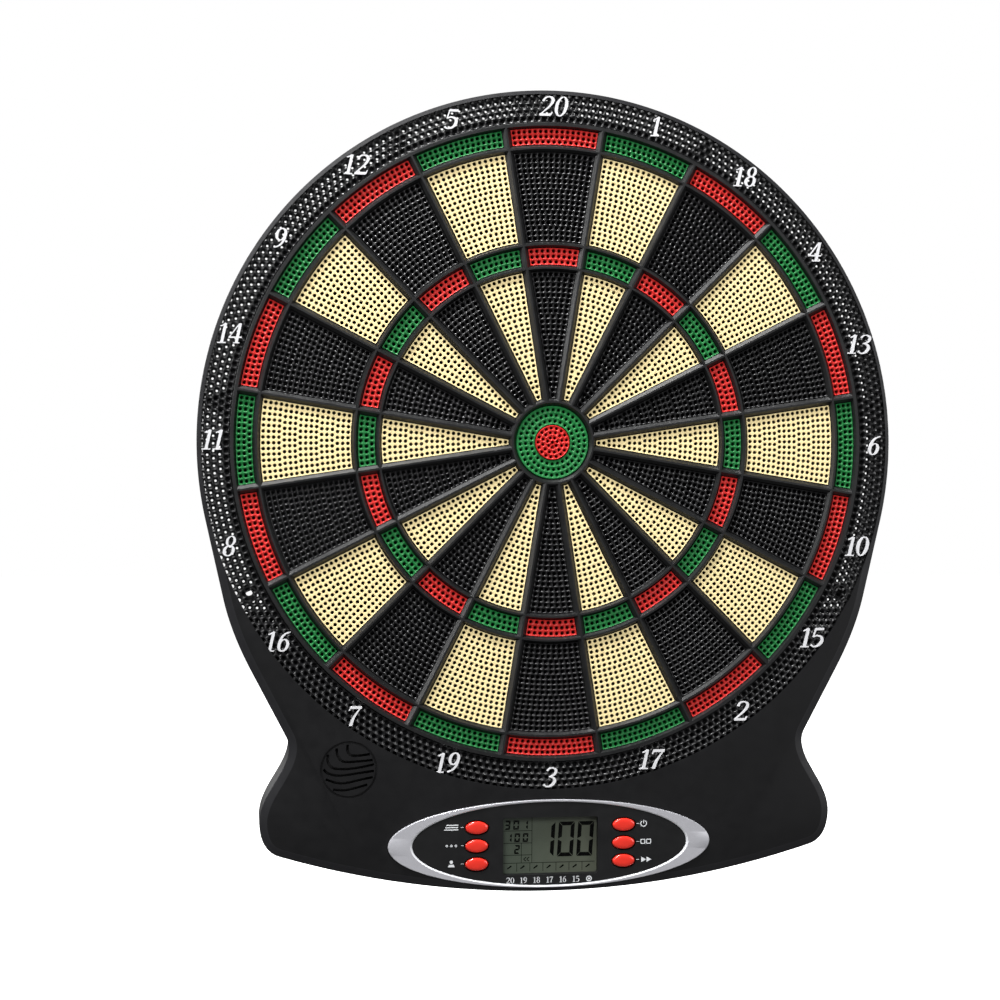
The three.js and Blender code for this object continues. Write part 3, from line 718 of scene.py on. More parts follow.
def spider_skin():
    """The spider: flat ridges, sloping windows with straight walls, the bore and the outer edge."""
    skin = Skin()
    foot_half = SPOKE / 2
    ridge, foot = windows_at_ridge(), windows_at_foot()
    # The ridges' web takes the second material, with its painted highlight.
    add_grid(skin, ridge, RIDGE_HALF, BULL_RIDGE[0], SPIDER_OUTER - 0.3, FRONT, 1, False)
    add_grid(skin, foot, foot_half, SPIDER_BORE, SPIDER_OUTER, SPIDER_BACK, 0, True)
    for i in range(SECTORS):
        for upper, lower in zip(ridge, foot):
            levels = [(upper, RIDGE_HALF, FRONT), (lower, foot_half, SPIDER_FOOT),
                      (lower, foot_half, SPIDER_BACK)]
            add_loft(skin, [arc(inner, offset, i, y) + arc(outer, offset, i, y)[::-1]
                            for (inner, outer), offset, y in levels], False, False)
        # Each edge goes over the sector and the spoke after it
        for profile in SPIDER_EDGES:
            rows = [[arc(radius, foot_half if y == SPIDER_BACK else RIDGE_HALF, k, y) for k in (i, i + 1)]
                    for radius, y in profile]
            for (near, near_after), (far, far_after) in zip(rows, rows[1:]):
                add_strip(skin, far, near, 0)
                add_strip(skin, [far[-1], far_after[0]], [near[-1], near_after[0]], 0)
    return skin


show(spider_skin(), "spider", [SPIDER_PLASTIC, SPIDER_RIDGE_SHEEN_AND_SCUFFS], 20, replaces=["spider_frame"])


# ---- number ring
RING_ROWS = [(176.0, 179.3), (179.3, 182.6), (182.6, 185.9), (185.9, 189.2)]
RING_HOLES = 288
RING_HOLE = [(1.58, 0.3), (0.95, 1.1), (0.67, 1.8), (0.67, PLATE_BACK - RING_FACE)]
RING_HALF_HOLE = [(1.5, 0.25), (1.1, 1.1), (1.05, PLATE_BACK - RING_FACE)]
RING_PITCH = 2 * math.pi / RING_HOLES
COLLAR_CLEAR, COLLAR_OUTER, COLLAR_INNER = 2.9, 4.5, 3.4


def add_half_holes(skin):
    """A row of half holes against the casing's border."""
    inner = RING_ROWS[-1][1]
    size = 5  # points across each level of a half hole
    faces = [(a, a + 1, a + size + 1, a + size)
             for level_start in range(0, 4 * size, size) for a in range(level_start, level_start + size - 1)]
    for i in range(RING_HOLES):
        left, middle, right = (RING_PITCH * (i + share) for share in (0, 0.5, 1))
        corners = [(left, RING_OUTER), (left, inner), (middle, inner), (right, inner), (right, RING_OUTER)]
        points = [polar(r, a, RING_FACE) for a, r in corners]
        for radius, depth in RING_HALF_HOLE:
            for k in range(size):
                a = math.pi + k * math.pi / 4
                r = RING_OUTER + radius * math.sin(a)
                points.append(polar(r, middle + radius * math.cos(a) / RING_OUTER, RING_FACE + depth))
        points += [polar(r, a, PLATE_BACK) for a, r in corners]
        skin.add(points, faces)


def ring_skin():
    """The number ring: rows of open holes, its two edges and the collars of the mounting holes."""
    skin = Skin()

    def under_collar(x, _, z):
        return any(math.hypot(x - cx, z - cz) < COLLAR_CLEAR for cx, cz in MOUNTING_HOLES)

    for row, radii in enumerate(RING_ROWS):
        turn = full_turn(RING_PITCH / 2 * (row % 2))
        add_hole_row(skin, turn, radii, RING_HOLES, RING_FACE, 0.12, RING_HOLE, False, under_collar)
    add_half_holes(skin)
    for radius, flip in ((RING_INNER, True), (RING_OUTER, False)):
        front, rear = ([polar(radius, RING_PITCH * i, y) for i in range(RING_HOLES + 1)]
                       for y in (RING_FACE, PLATE_BACK))
        add_strip(skin, front, rear, 0, flip)
    face, back = RING_FACE + 0.1, PLATE_BACK + 0.1
    profile = [(COLLAR_OUTER, back), (COLLAR_OUTER, face), (COLLAR_INNER + 0.4, face),
               (COLLAR_INNER, face + 0.5), (COLLAR_INNER, back), (COLLAR_OUTER, back)]
    for centre in MOUNTING_HOLES:
        add_turned(skin, profile, centre)
    return skin


show(ring_skin(), "number_ring", [RING_PLASTIC])


# ---- casing
SHOULDER = 103.5 * DEGREE  # where the round rim runs out, clockwise from the top


def bezier(points, steps):
    """Points along a quadratic or cubic curve, without its first."""
    order = len(points) - 1
    curve = []
    for i in range(1, steps + 1):
        t = i / steps
        weights = [math.comb(order, k) * t ** k * (1 - t) ** (order - k) for k in range(order + 1)]
        curve.append(tuple(sum(w * point[axis] for w, point in zip(weights, points)) for axis in (0, 1)))
    return curve


def casing_outline():
    """The casing's outline, counterclockwise from the top: a rim, sloping shoulders, the waist,
    the ears beside the panel and a shallow arc along the bottom."""
    rim_steps = 92
    right = [polar(RIM_RADIUS, SHOULDER * i / rim_steps, 0)[::2] for i in range(rim_steps + 1)]
    right.append((178.6, -85))
    right += bezier([(178.6, -85), (174.4, -103.6), (163.4, -124.5)], 16)
    right.append((144.7, -160))
    right += bezier([(144.7, -160), (142.6, -164), (143.6, -169)], 10)
    right += bezier([(143.6, -169), (146, -181), (159, -192), (159, -206)], 24)
    right += bezier([(159, -206), (158.5, -221.3), (148, -224.6)], 14)
    arc_radius, arc_centre, edge, steps = 500, 253, 148, 36
    for i in range(1, steps + 1):
        x = edge * (1 - i / steps)
        right.append((x, arc_centre - math.sqrt(arc_radius ** 2 - x ** 2)))
    left = [(-x, z) for x, z in right[1:-1]]
    return [right[0], *left, *reversed(right[1:])]


def inset(points, distance):
    """The same outline moved inwards, each corner along the bisector of its two sides."""
    moved = []
    for i, (x, z) in enumerate(points):
        (px, pz), (nx, nz) = points[i - 1], points[(i + 1) % len(points)]
        before, after = math.hypot(x - px, z - pz), math.hypot(nx - x, nz - z)
        bx, bz, ax, az = (x - px) / before, (z - pz) / before, (nx - x) / after, (nz - z) / after
        length = math.hypot(bz + az, bx + ax)
        ix, iz = -(bz + az) / length, (bx + ax) / length
        stretch = iz * bx - ix * bz
        moved.append((x + ix * distance / stretch, z + iz * distance / stretch))
    return moved


OUTLINE = casing_outline()
EDGE_ROUND = [(0, 0), (0, FRONT + 1.5), (0.25, FRONT + 1.05), (3.9, FRONT + 0.06), (4.3, FRONT)]


def casing_block():
    """The casing's solid shape, its front edge chamfered and in the lighter material, a painted sheen."""
    skin = Skin()
    add_loft(skin, [level(inset(OUTLINE, d), y) for d, y in EDGE_ROUND], slots=[0, 1, 1, 1, 0])
    mesh = skin.mesh("casing_block", merge=0)
    mesh.materials.append(CASING_PLASTIC)
    mesh.materials.append(CASING_EDGE_PAINTED_SHEEN)
    return mesh


def ring_prism(inner, outer, back, front, steps=180):
    return prism(circle(outer, steps), back, front, [circle(inner, steps)])


# Slots of the loudspeaker grille, each a bent line in millimetres from its centre
GRILLE_LINES = [
    [(-0.7, 13.6), (-0.7, 10.2), (1.2, 7.9), (5.4, 7.6), (11.4, 8.3)],
    [(-6.7, 11.7), (-6.0, 7.6), (-3.0, 4.5), (3.9, 4.4), (12.9, 5.1)],
    [(-11.3, 8.3), (-11.3, 4.5), (-8.6, 1.1), (-2.2, 0.4), (5.4, 1.1), (13.6, 2.7)],
    [(-13.6, 0.5), (-11.7, -1.5), (-7.5, -2.9), (-2.2, -2.9), (5.4, -1.9), (13.6, -0.8)],
    [(-12.5, -5.0), (-7.0, -6.9), (-2.2, -7.2), (5.4, -5.7), (13.0, -4.2)],
    [(-8.5, -10.6), (-2.0, -11.0), (5.4, -9.5), (10.0, -8.2)],
]
GRILLE_SLOT = 1.4
GRILLE_GROOVE = (14.3, 15.5)


def grille_loops():
    """The slots of the loudspeaker grille."""
    cx, cz = node_middle("speaker")
    return [orient(ribbon([(cx + x, cz + z, GRILLE_SLOT) for x, z in line])) for line in GRILLE_LINES]


def panel_openings(back, front):
    """Cutters for the display's window and the buttons, between two depths."""
    low, high = node_box("display_window")
    window = rounded_rectangle(low.x - GAP, high.x + GAP, low.z - GAP, high.z + GAP, 1.5)
    a, b = BUTTON_A + BUTTON_GAP, BUTTON_B + BUTTON_GAP
    buttons = [ellipse(a, b, 40, node_middle(name)) for name in BUTTONS]
    return [prism(loop, back, front) for loop in (window, *buttons)]


def casing_mesh():
    """The casing: hollow behind, open for the target, with the number ring's and panel's recesses."""
    outside = FRONT - 1
    hollow = combine(prism(inset(OUTLINE, WALL), 1, PLATE_BACK),
                     prism(circle(BORE_RADIUS + BORE_WALL, 180), -COVER_THICKNESS - GAP, outside))
    upper = combine(ring_prism(BORE_RADIUS + BORE_WALL, RIM_RADIUS + 5, 1, RIM_BACK),
                    prism(bar(-200, 200, DEEP_BELOW, 200), 2, RIM_BACK - 1), operation="INTERSECT")
    a, b = node_halves("panel_bezel")
    inner, outer = (circle(radius, 64, node_middle("speaker")) for radius in GRILLE_GROOVE)
    return combine(
        casing_block(),
        hollow,
        upper,
        prism(circle(RING_INNER - 0.1, 180), 1, outside),
        prism(circle(BORE_RADIUS, 180), 1, BORE_FRONT),
        ring_prism(RING_INNER - 0.5, RING_OUTER, PLATE_BACK + 0.2, outside, RING_HOLES),
        prism(ellipse(a + GAP, b + GAP, 120, node_middle("panel_bezel")),
              node_box("panel_bezel")[1].y + GAP, outside),
        *panel_openings(PLATE_BACK + 1, outside),
        *[prism(loop, PLATE_BACK + 1, outside) for loop in grille_loops()],
        prism(outer, FRONT + 1.0, outside, [inner]),
    )


def casing_inner_skin():
    """Screw bosses, wall-screw sleeves, board posts and the loudspeaker's collar."""
    skin = Skin()
    root = PLATE_BACK - 0.5
    tubes = [(node_middle(name), 4.0, SCREW_HOLE, -COVER_THICKNESS - GAP) for name in SCREWS]
    tubes += [(centre, 4.2, 2.3, 0) for centre in MOUNTING_HOLES]
    tubes += [((x, z), 2.0, 0.8, -21.1) for x in (-51.5, 51.5) for z in (-201, -236)]
    tubes.append((node_middle("speaker"), 16.5, 15.1, -20))
    for centre, outer, inner, back in tubes:
        add_turned(skin, [(outer, root), (outer, back - 0.4), (outer - 0.3, back), (inner + 0.3, back),
                          (inner, back - 0.4), (inner, root), (outer, root)], centre)
    return skin.flip()


show(casing_mesh(), "casing", [CASING_PLASTIC, CASING_EDGE_PAINTED_SHEEN], 22, replaces=["front_casing"])
show(casing_inner_skin(), "casing_bosses", [CASING_PLASTIC], 35)


# ---- numerals
def hoop(x, z, a, b, side, end):
    """A closed bowl: an ellipse that is thick at its sides and thin at its ends."""
    return ellipse(a, b, 32, (x, z)), ellipse(a - side, b - end, 32, (x, z))


# Each figure on a unit high by about 0.55 wide, as strokes and bowls with thick and thin parts
FIGURES = {
    "0": [hoop(0.28, 0.5, 0.27, 0.5, 0.13, 0.055)],
    "1": [[(0.22, 0.03, 0.14), (0.22, 0.97, 0.14)], [(0.04, 0.035, 0.07), (0.40, 0.035, 0.07)],
          [(0.02, 0.84, 0.05), (0.12, 0.88, 0.08), (0.23, 0.97, 0.08)]],
    "2": [[(0.07, 0.74, 0.12), (0.12, 0.90, 0.09), (0.28, 0.965, 0.07), (0.44, 0.88, 0.13),
           (0.47, 0.70, 0.14), (0.36, 0.46, 0.10), (0.18, 0.24, 0.07), (0.06, 0.07, 0.06)],
          [(0.03, 0.07, 0.14), (0.50, 0.07, 0.14)], [(0.50, 0.05, 0.07), (0.545, 0.22, 0.05)]],
    "3": [[(0.06, 0.82, 0.10), (0.14, 0.94, 0.07), (0.28, 0.965, 0.07), (0.43, 0.86, 0.12),
           (0.42, 0.66, 0.12), (0.24, 0.53, 0.06)],
          [(0.20, 0.54, 0.06), (0.40, 0.47, 0.10), (0.48, 0.28, 0.15), (0.38, 0.09, 0.12),
           (0.20, 0.03, 0.07), (0.05, 0.13, 0.10)]],
    "4": [[(0.37, 0.02, 0.14), (0.37, 0.97, 0.14)], [(0.00, 0.30, 0.08), (0.55, 0.30, 0.08)],
          [(0.02, 0.28, 0.05), (0.34, 0.97, 0.06)], [(0.24, 0.03, 0.06), (0.50, 0.03, 0.06)]],
    "5": [[(0.12, 0.93, 0.13), (0.48, 0.93, 0.13)], [(0.12, 0.97, 0.06), (0.08, 0.52, 0.06)],
          [(0.07, 0.53, 0.06), (0.24, 0.60, 0.08), (0.44, 0.51, 0.12), (0.49, 0.30, 0.15),
           (0.38, 0.10, 0.12), (0.20, 0.03, 0.07), (0.04, 0.12, 0.10)]],
    "6": [hoop(0.28, 0.31, 0.24, 0.31, 0.125, 0.055),
          [(0.105, 0.30, 0.12), (0.12, 0.58, 0.12), (0.24, 0.84, 0.09), (0.46, 0.965, 0.06)]],
    "7": [[(0.05, 0.92, 0.14), (0.52, 0.92, 0.14)], [(0.06, 0.96, 0.06), (0.03, 0.76, 0.05)],
          [(0.48, 0.95, 0.06), (0.34, 0.60, 0.09), (0.25, 0.32, 0.13), (0.22, 0.02, 0.15)]],
    "8": [hoop(0.28, 0.74, 0.20, 0.26, 0.105, 0.055), hoop(0.28, 0.27, 0.245, 0.275, 0.125, 0.06)],
    "9": [hoop(0.28, 0.69, 0.24, 0.31, 0.125, 0.055),
          [(0.455, 0.70, 0.12), (0.44, 0.42, 0.12), (0.32, 0.16, 0.09), (0.10, 0.035, 0.06)]],
}
ADVANCE = {"0": 0.66, "1": 0.45}  # width with the gap after it; the rest are FIGURE_ADVANCE
FIGURE_ADVANCE = 0.61
FIGURE_STRETCH = 1.18  # how much wider the figures are drawn than the unit shapes
WEIGHT = 0.88  # how heavy the strokes are drawn


def transform(loop, place, height, slant):
    return [(place[0] + height * (FIGURE_STRETCH * x + slant * z), place[1] + height * z)
            for x, z in loop]


def figure_shapes(text, place, height, slant):
    """Outlines of a row of figures round a place, each an outline and its holes."""
    advances = [ADVANCE.get(character, FIGURE_ADVANCE) * FIGURE_STRETCH for character in text]
    left = place[0] - height * (sum(advances) - 0.06 + slant) / 2
    base = place[1] - height / 2
    shapes = []
    for character, advance in zip(text, advances):
        for shape in FIGURES[character]:
            if isinstance(shape, tuple):
                outer, inner = (transform(loop, (left, base), height, slant) for loop in shape)
                shapes.append((outer, [inner]))
            else:
                stroke = ribbon([(x, z, width * WEIGHT) for x, z, width in shape])
                shapes.append((orient(transform(stroke, (left, base), height, slant)), []))
        left += advance * height
    return shapes


def figure_mesh(text, place, height, back, front, slant=0.22):
    """Raised figures, each made of its strokes and bowls joined into one body, round a place."""
    first, *rest = [prism(outer, back, front, holes)
                    for outer, holes in figure_shapes(text, place, height, slant)]
    return combine(first, *rest, operation="UNION") if rest else first


NUMERAL_RADIUS = 184.2
NUMERAL_HEIGHT = 11.0
for index, number in enumerate(SECTOR_NUMBERS):
    x, _, z = polar(NUMERAL_RADIUS, index * SECTOR_ANGLE, 0)
    show(figure_mesh(str(number), (x, z), NUMERAL_HEIGHT, RING_FACE + 0.3, FRONT + 0.15),
         f"numeral_{number:02d}", [NUMERAL_WHITE])


# ---- panel
def bezel_skin():
    """The silver oval, with a rounded outer edge and an inner edge painted bright as a highlight."""
    low, high = node_box("panel_bezel")
    a, b = node_halves("panel_bezel")
    inner_a, inner_b = node_halves("panel_overlay")
    inner_a += GAP
    inner_b += 0.2
    rings = [(a, b, high.y), (a, b, low.y + 0.5), (a - 0.15, b - 0.12, low.y + 0.18),
             (a - 0.5, b - 0.3, low.y), (inner_a + 1.1, inner_b + 0.75, low.y),
             (inner_a + 0.9, inner_b + 0.6, low.y + 0.12), (inner_a + 0.35, inner_b + 0.2, low.y + 0.35),
             (inner_a, inner_b, low.y + 0.7), (inner_a, inner_b, high.y), (a, b, high.y)]
    skin = Skin()
    centre = node_middle("panel_bezel")
    add_loft(skin, [level(ellipse(ra, rb, 144, centre), y) for ra, rb, y in rings], False, False,
             [0, 0, 0, 0, 1, 1, 1, 0, 0])
    return skin


# Painted highlight: the bezel's inner edge is a brighter material that stands for the light line it catches.
BEZEL_EDGE_PAINTED_HIGHLIGHT = plastic("bezel_edge_painted_highlight", (0.7, 0.71, 0.74), 0.25, grain=0.3, relief=0.002, mottle=0.03)
show(bezel_skin(), "bezel", [SILVER, BEZEL_EDGE_PAINTED_HIGHLIGHT], replaces=["panel_bezel"])


def overlay_mesh():
    """The black plate, its front edge chamfered, with the window and the button holes."""
    low, high = node_box("panel_overlay")
    a, b = node_halves("panel_overlay")
    centre = node_middle("panel_overlay")
    plate = Skin()
    add_loft(plate, [level(ellipse(a - d, b - d, 120, centre), y)
                     for d, y in ((0, high.y), (0, low.y + 0.2), (0.2, low.y))])
    return combine(plate.mesh("overlay", merge=0), *panel_openings(0, FRONT - 2))


show(overlay_mesh(), "overlay", [OVERLAY], replaces=["panel_overlay"])

for name in BUTTONS:
    low, high = node_box(name)
    flange = BUTTON_A + 1
    cap = Skin()
    profile = [(flange, high.y), (flange, high.y - 0.8), (BUTTON_A, high.y - 0.8), (BUTTON_A, low.y + 1.1),
               (6.1, low.y + 0.7), (5.7, low.y + 0.4), (4.9, low.y + 0.2), (3.6, low.y + 0.06),
               (1.8, low.y + 0.005), (0.5, low.y)]
    add_turned(cap, profile, node_middle(name), 48, BUTTON_B / BUTTON_A, (True, True))
    show(cap, name + "_cap", [BUTTON_RED], 40, name, [name])

# Display: seven-segment figures and ruled cells on the glass
SEGMENTS = {"0": "abcdef", "1": "bc", "2": "abged", "3": "abgcd"}
DISPLAY_SLANT = 0.06
DISPLAY_EDGE = 0.6  # from the window's side to the row of cells
DISPLAY_CELLS = 7
DISPLAY_STEP = 51.2 / DISPLAY_CELLS
# Text, left, bottom, width, height, stroke and pitch of each row of figures
FIGURE_ROWS = [
    ("301", 1.0, 23.8, 3.2, 5.1, 0.95, 4.9), ("100", 2.0, 16.9, 3.0, 4.9, 0.95, 4.6),
    ("2", 6.5, 10.4, 3.0, 4.9, 0.9, 4.6), ("100", 19.6, 8.5, 8.9, 19.2, 2.1, 10.85),
]
RULES = [5.2, 9.6, 16.2, 23.0]  # heights of the ruled lines
RULE_COLUMN = 16.3
RULE_WIDTH = 0.3


def seven_segment(character, corner, width, height, stroke):
    """Outlines of one display figure."""
    w, h, t, g = width, height, stroke, stroke * 0.12
    half = h / 2
    shapes = {
        "a": [(g, h), (t, h - t), (w - t, h - t), (w - g, h)],
        "d": [(g, 0), (w - g, 0), (w - t, t), (t, t)],
        "g": [(g * 2, half), (t, half - t / 2), (w - t, half - t / 2), (w - g * 2, half),
              (w - t, half + t / 2), (t, half + t / 2)],
        "f": [(0, h - g), (0, half + g), (t, half + g + t / 2), (t, h - t - g)],
        "e": [(0, half - g), (0, g), (t, t + g), (t, half - g - t / 2)],
        "b": [(w, h - g), (w - t, h - t - g), (w - t, half + g + t / 2), (w, half + g)],
        "c": [(w, half - g), (w - t, half - g - t / 2), (w - t, t + g), (w, g)],
    }
    return [[(corner[0] + x + DISPLAY_SLANT * z, corner[1] + z) for x, z in shapes[s]]
            for s in SEGMENTS[character]]


def display_pieces():
    """The display's glass, its figures and its ruled lines."""
    low, high = node_box("display_module")
    glass = Skin()
    add_loft(glass, [level(rounded_rectangle(low.x + d, high.x - d, low.z + d, high.z - d, 1.0), y)
                     for d, y in ((0, high.y), (0, low.y + 0.3), (0.3, low.y))])
    window = node_box("display_window")
    left, bottom = window[0].x, window[0].z
    front, back = low.y - 0.06, low.y + 0.05
    figures, lines = Skin(), Skin()

    def rule(start, end, low_edge, high_edge):
        add_prism(lines, bar(left + start, left + end, bottom + low_edge, bottom + high_edge), back, front)

    def stroke_of(points):
        stroke = ribbon([(left + x, bottom + z, width) for x, z, width in points])
        add_prism(figures, orient(stroke), back, front)

    for text, x, z, width, height, stroke, pitch in FIGURE_ROWS:
        for i, character in enumerate(text):
            corner = (left + x + i * pitch, bottom + z)
            for outline in seven_segment(character, corner, width, height, stroke):
                add_prism(figures, orient(outline), back, front)
    for z in RULES:
        rule(DISPLAY_EDGE, 51.8 if z == RULES[0] else RULE_COLUMN, z, z + RULE_WIDTH)
    rule(RULE_COLUMN, RULE_COLUMN + RULE_WIDTH, RULES[0], 30.4)
    rule(10.4, 10.4 + RULE_WIDTH, RULES[0], RULES[2])
    for x in (12.0, 13.7):
        stroke_of([(x + 1.3, 6.3, 0.4), (x, 7.4, 0.5), (x + 1.3, 8.5, 0.4)])
    for i in range(DISPLAY_CELLS):
        x = DISPLAY_EDGE + i * DISPLAY_STEP
        if i:
            rule(x, x + RULE_WIDTH, 0.6, RULES[0])
        stroke_of([(x + 2.2, 2.2, 0.6), (x + 4.4, 3.8, 0.9)])
    show(glass, "display_panel", [DISPLAY], replaces=["display_module"])
    show(figures, "display_figures", [DISPLAY_FIGURES])
    show(lines, "display_lines", [DISPLAY_LINES])


display_pieces()


LABEL_HEIGHT = 3.3
LABEL_DROP = 3.2  # of the row of numbers below the window
SYMBOL_SCALE = 1.25
POWER_ARC = [(-2.2 + 1.3 * math.cos(a), 1.3 * math.sin(a), 0.4)
             for a in [(125 + 29 * k) * DEGREE for k in range(11)]]
# Plain marks that stand for the buttons' words: outlines round the origin, each with its holes
SYMBOLS = {
    "button_game": [[bar(-3.2 + row * 0.5, 3.0, row - 1.2, row - 0.75)] for row in range(3)],
    "button_option": [[circle(0.55, 16, (x, 0)), circle(0.25, 16, (x, 0))] for x in (-2, 0, 2)],
    "button_player": [[circle(0.75, 20, (0, 0.9))],
                      [[(-1.5, -1.3), (1.5, -1.3), (1.0, -0.2), (-1.0, -0.2)]]],
    "button_power": [[ribbon(POWER_ARC)], [bar(-2.4, -2.0, 0.1, 1.6)]],
    "button_double": [[rounded_rectangle(x - 1.1, x + 1.1, -1.1, 1.1, 0.4, 3),
                       rounded_rectangle(x - 0.7, x + 0.7, -0.7, 0.7, 0.2, 3)] for x in (-2.5, 0.1)],
    "button_start": [[[(x, -1.2), (x + 2.2, 0), (x, 1.2)]] for x in (-3.2, -0.8)],
}


def print_skin():
    """The white print: a symbol and a dash beside each button, and the numbers under the display."""
    skin = Skin()
    front = node_box("panel_overlay")[0].y - 0.04

    def mark(outline, *holes):
        add_prism(skin, orient(outline), front + 0.08, front, [orient(hole) for hole in holes])

    for name in BUTTONS:
        x, z = node_middle(name)
        side = -1 if x < 0 else 1
        mark(bar(*sorted((x + side * 7.2, x + side * 8.8)), z + 0.3, z + 0.55))
        x += side * 14.0
        z += 0.4
        for loops in SYMBOLS[name]:
            mark(*[[(x + u * SYMBOL_SCALE, z + v * SYMBOL_SCALE) for u, v in loop] for loop in loops])
    window = node_box("display_window")[0]
    places = [(window.x + DISPLAY_EDGE + DISPLAY_STEP * (i + 0.45), window.z - LABEL_DROP)
              for i in range(DISPLAY_CELLS)]
    for text, place in zip(["20", "19", "18", "17", "16", "15"], places):
        for outline, holes in figure_shapes(text, place, LABEL_HEIGHT, 0.0):
            mark(outline, *holes)
    mark(circle(1.6, 24, places[-1]), circle(1.05, 24, places[-1]))
    mark(circle(0.55, 16, places[-1]))
    return skin


show(print_skin(), "panel_print", [PRINT_WHITE])


# ---- back
BAY = (-29, 29, -237.5, -190.5)  # of the batteries: left, right, bottom, top
BAY_FRONT = -17.6
BAY_WALL = 1.2
DOOR_BOTTOM, DOOR_TOP = -239, -189
TAB_PLACES = (-20, 20)  # of the door's tabs along its upper edge
PRESSED = -0.7  # depth of the rings and bars pressed into the cover
VENT_RADIUS, VENT_PITCH, VENT_HALF = 13, 3.6, 0.7
SCREW_SEAT = 3.1


def beam(direction, start, end, half):
    """A bar that runs outwards from the bull, between two distances."""
    out = Vector(direction).normalized()
    side = Vector((-out.y, out.x)) * half
    near, far = out * start, out * end
    return [tuple(point) for point in (near - side, far - side, far + side, near + side)]


def keyhole_cutters(depth):
    entry, slot, bottom, top = 4.1, 2.3, 183.6, 190
    return [prism(circle(entry, 40, (0, bottom)), 1, depth),
            prism(rounded_rectangle(-slot, slot, bottom, top, slot - 0.05, 8), 1, depth)]


def cover_body():
    """A disc and a base that fill the casing, with the screw tabs, the hanger and the battery bay."""
    front = -COVER_THICKNESS
    screws = [node_middle(name) for name in SCREWS[:4]]
    left, right, bottom, top = BAY
    return combine(
        prism(circle(BORE_RADIUS + BORE_WALL, 180), 0, front),
        combine(prism(inset(OUTLINE, WALL + GAP), 0, front), prism(bar(-200, 200, -260, -95), 1, front - 1),
                operation="INTERSECT"),
        *[prism(loop, 0, front) for place in screws
          for loop in (beam(place, 172, 184.6, 5.4), circle(5.4, 40, place))],
        prism(rounded_rectangle(-18, 18, 168, 192.5, 3), 0, front),
        prism(bar(left - BAY_WALL, right + BAY_WALL, bottom - BAY_WALL, top + BAY_WALL), -1,
              BAY_FRONT - BAY_WALL),
        operation="UNION")


def cover_mesh():
    """The rear cover with rings and bars pressed in, counterbored screws, keyhole, vents and door."""
    through = -COVER_THICKNESS - 1
    low, high = node_box("battery_door")
    doorway = rounded_rectangle(low.x - GAP, high.x + GAP, DOOR_BOTTOM - GAP, DOOR_TOP + GAP, 2)
    cutters = [prism(bar(*BAY), 1, BAY_FRONT), prism(doorway, 1, -2.2)]
    cutters += [prism(bar(x - 4, x + 4, -191.5, -186), -0.9, through) for x in TAB_PLACES]
    for place in map(node_middle, SCREWS):
        cutters.append(prism(circle(SCREW_HOLE, 24, place), 1, through))
        cutters.append(prism(circle(SCREW_SEAT, 32, place), 1, -2.1))
    cutters += keyhole_cutters(through)
    cutters += [ring_prism(radius, radius + 1.6, 1, PRESSED, 144) for radius in (30, 62, 94, 126, 158)]
    for k in range(12):
        angle = (15 + 30 * k) * DEGREE
        cutters.append(prism(beam((math.cos(angle), math.sin(angle)), 36, 152, 0.8), 1, PRESSED))
    # Vents behind the loudspeaker
    x, z = node_middle("speaker")
    for row in range(-3, 4):
        rise = row * VENT_PITCH
        half = math.sqrt(VENT_RADIUS ** 2 - rise ** 2)
        slot = rounded_rectangle(x - half, x + half, z + rise - VENT_HALF, z + rise + VENT_HALF, 0.65)
        cutters.append(prism(slot, 1, through))
    return combine(cover_body(), *cutters)


COVER_PLASTIC = plastic("cover_plastic", scaled(BLACK, 1.15), 0.55, grain=0.7, relief=0.03, specular=0.35,
                        scuffs=0.15)
show(cover_mesh(), "cover", [COVER_PLASTIC], replaces=["rear_cover"])


def door_mesh():
    """The battery door: a rounded plate with grip ribs, a finger scoop, two tabs and a latch."""
    low, high = node_box("battery_door")
    bottom, top, back, front = DOOR_BOTTOM, DOOR_TOP, high.y, -1.9
    plate = Skin()
    add_loft(plate, [level(rounded_rectangle(low.x + d, high.x - d, bottom + d, top - d, 2), y)
                     for d, y in ((0.35, back), (0, back - 0.35), (0, front))])
    tabs = [prism(rounded_rectangle(x - 3, x + 3, top - 1, top + 1.9, 0.5), -1.3, front - 0.6)
            for x in TAB_PLACES]
    latch = prism(rounded_rectangle(-6, 6, bottom + 2, bottom + 3.4, 0.4), front + 0.2, front - 1.1)
    body = combine(plate.flip().mesh("door", merge=0), *tabs, latch, operation="UNION")
    scoop = prism(ellipse(9, 4, 40, (0, bottom + 9)), 1, back - 0.8)
    ribs = [prism(rounded_rectangle(-14, 14, z, z + 0.9, 0.4), 1, back - 0.5)
            for z in (bottom + 17, bottom + 19.5, bottom + 22)]
    arrow = prism([(-2.6, bottom + 33), (0, bottom + 29), (2.6, bottom + 33)], 1, back - 0.4)
    return combine(body, scoop, *ribs, arrow)


show(door_mesh(), "door", [COVER_PLASTIC], 30, "battery_door", ["battery_door"])


def screw_mesh():
    """A pan-headed screw with a cross recess, its head towards the back."""
    skin = Skin()
    add_turned(skin, [(0.3, -15.0), (0.9, -14.6), (1.45, -13.4), (1.45, -1.9), (2.8, -1.9), (2.8, -1.0),
                      (2.55, -0.6), (2.0, -0.38), (1.0, -0.3)], caps=(True, True))
    cross = [prism(bar(-1.6, 1.6, -0.32, 0.32), 0.5, -1.3), prism(bar(-0.32, 0.32, -1.6, 1.6), 0.5, -1.3)]
    return combine(skin.flip().mesh("screw", merge=0), *cross)


for name in SCREWS:
    x, z = node_middle(name)
    mesh = screw_mesh()
    mesh.transform(Matrix.Translation((x * MM, 0, z * MM)))
    show(mesh, name + "_head", [ZINC], replaces=[name])


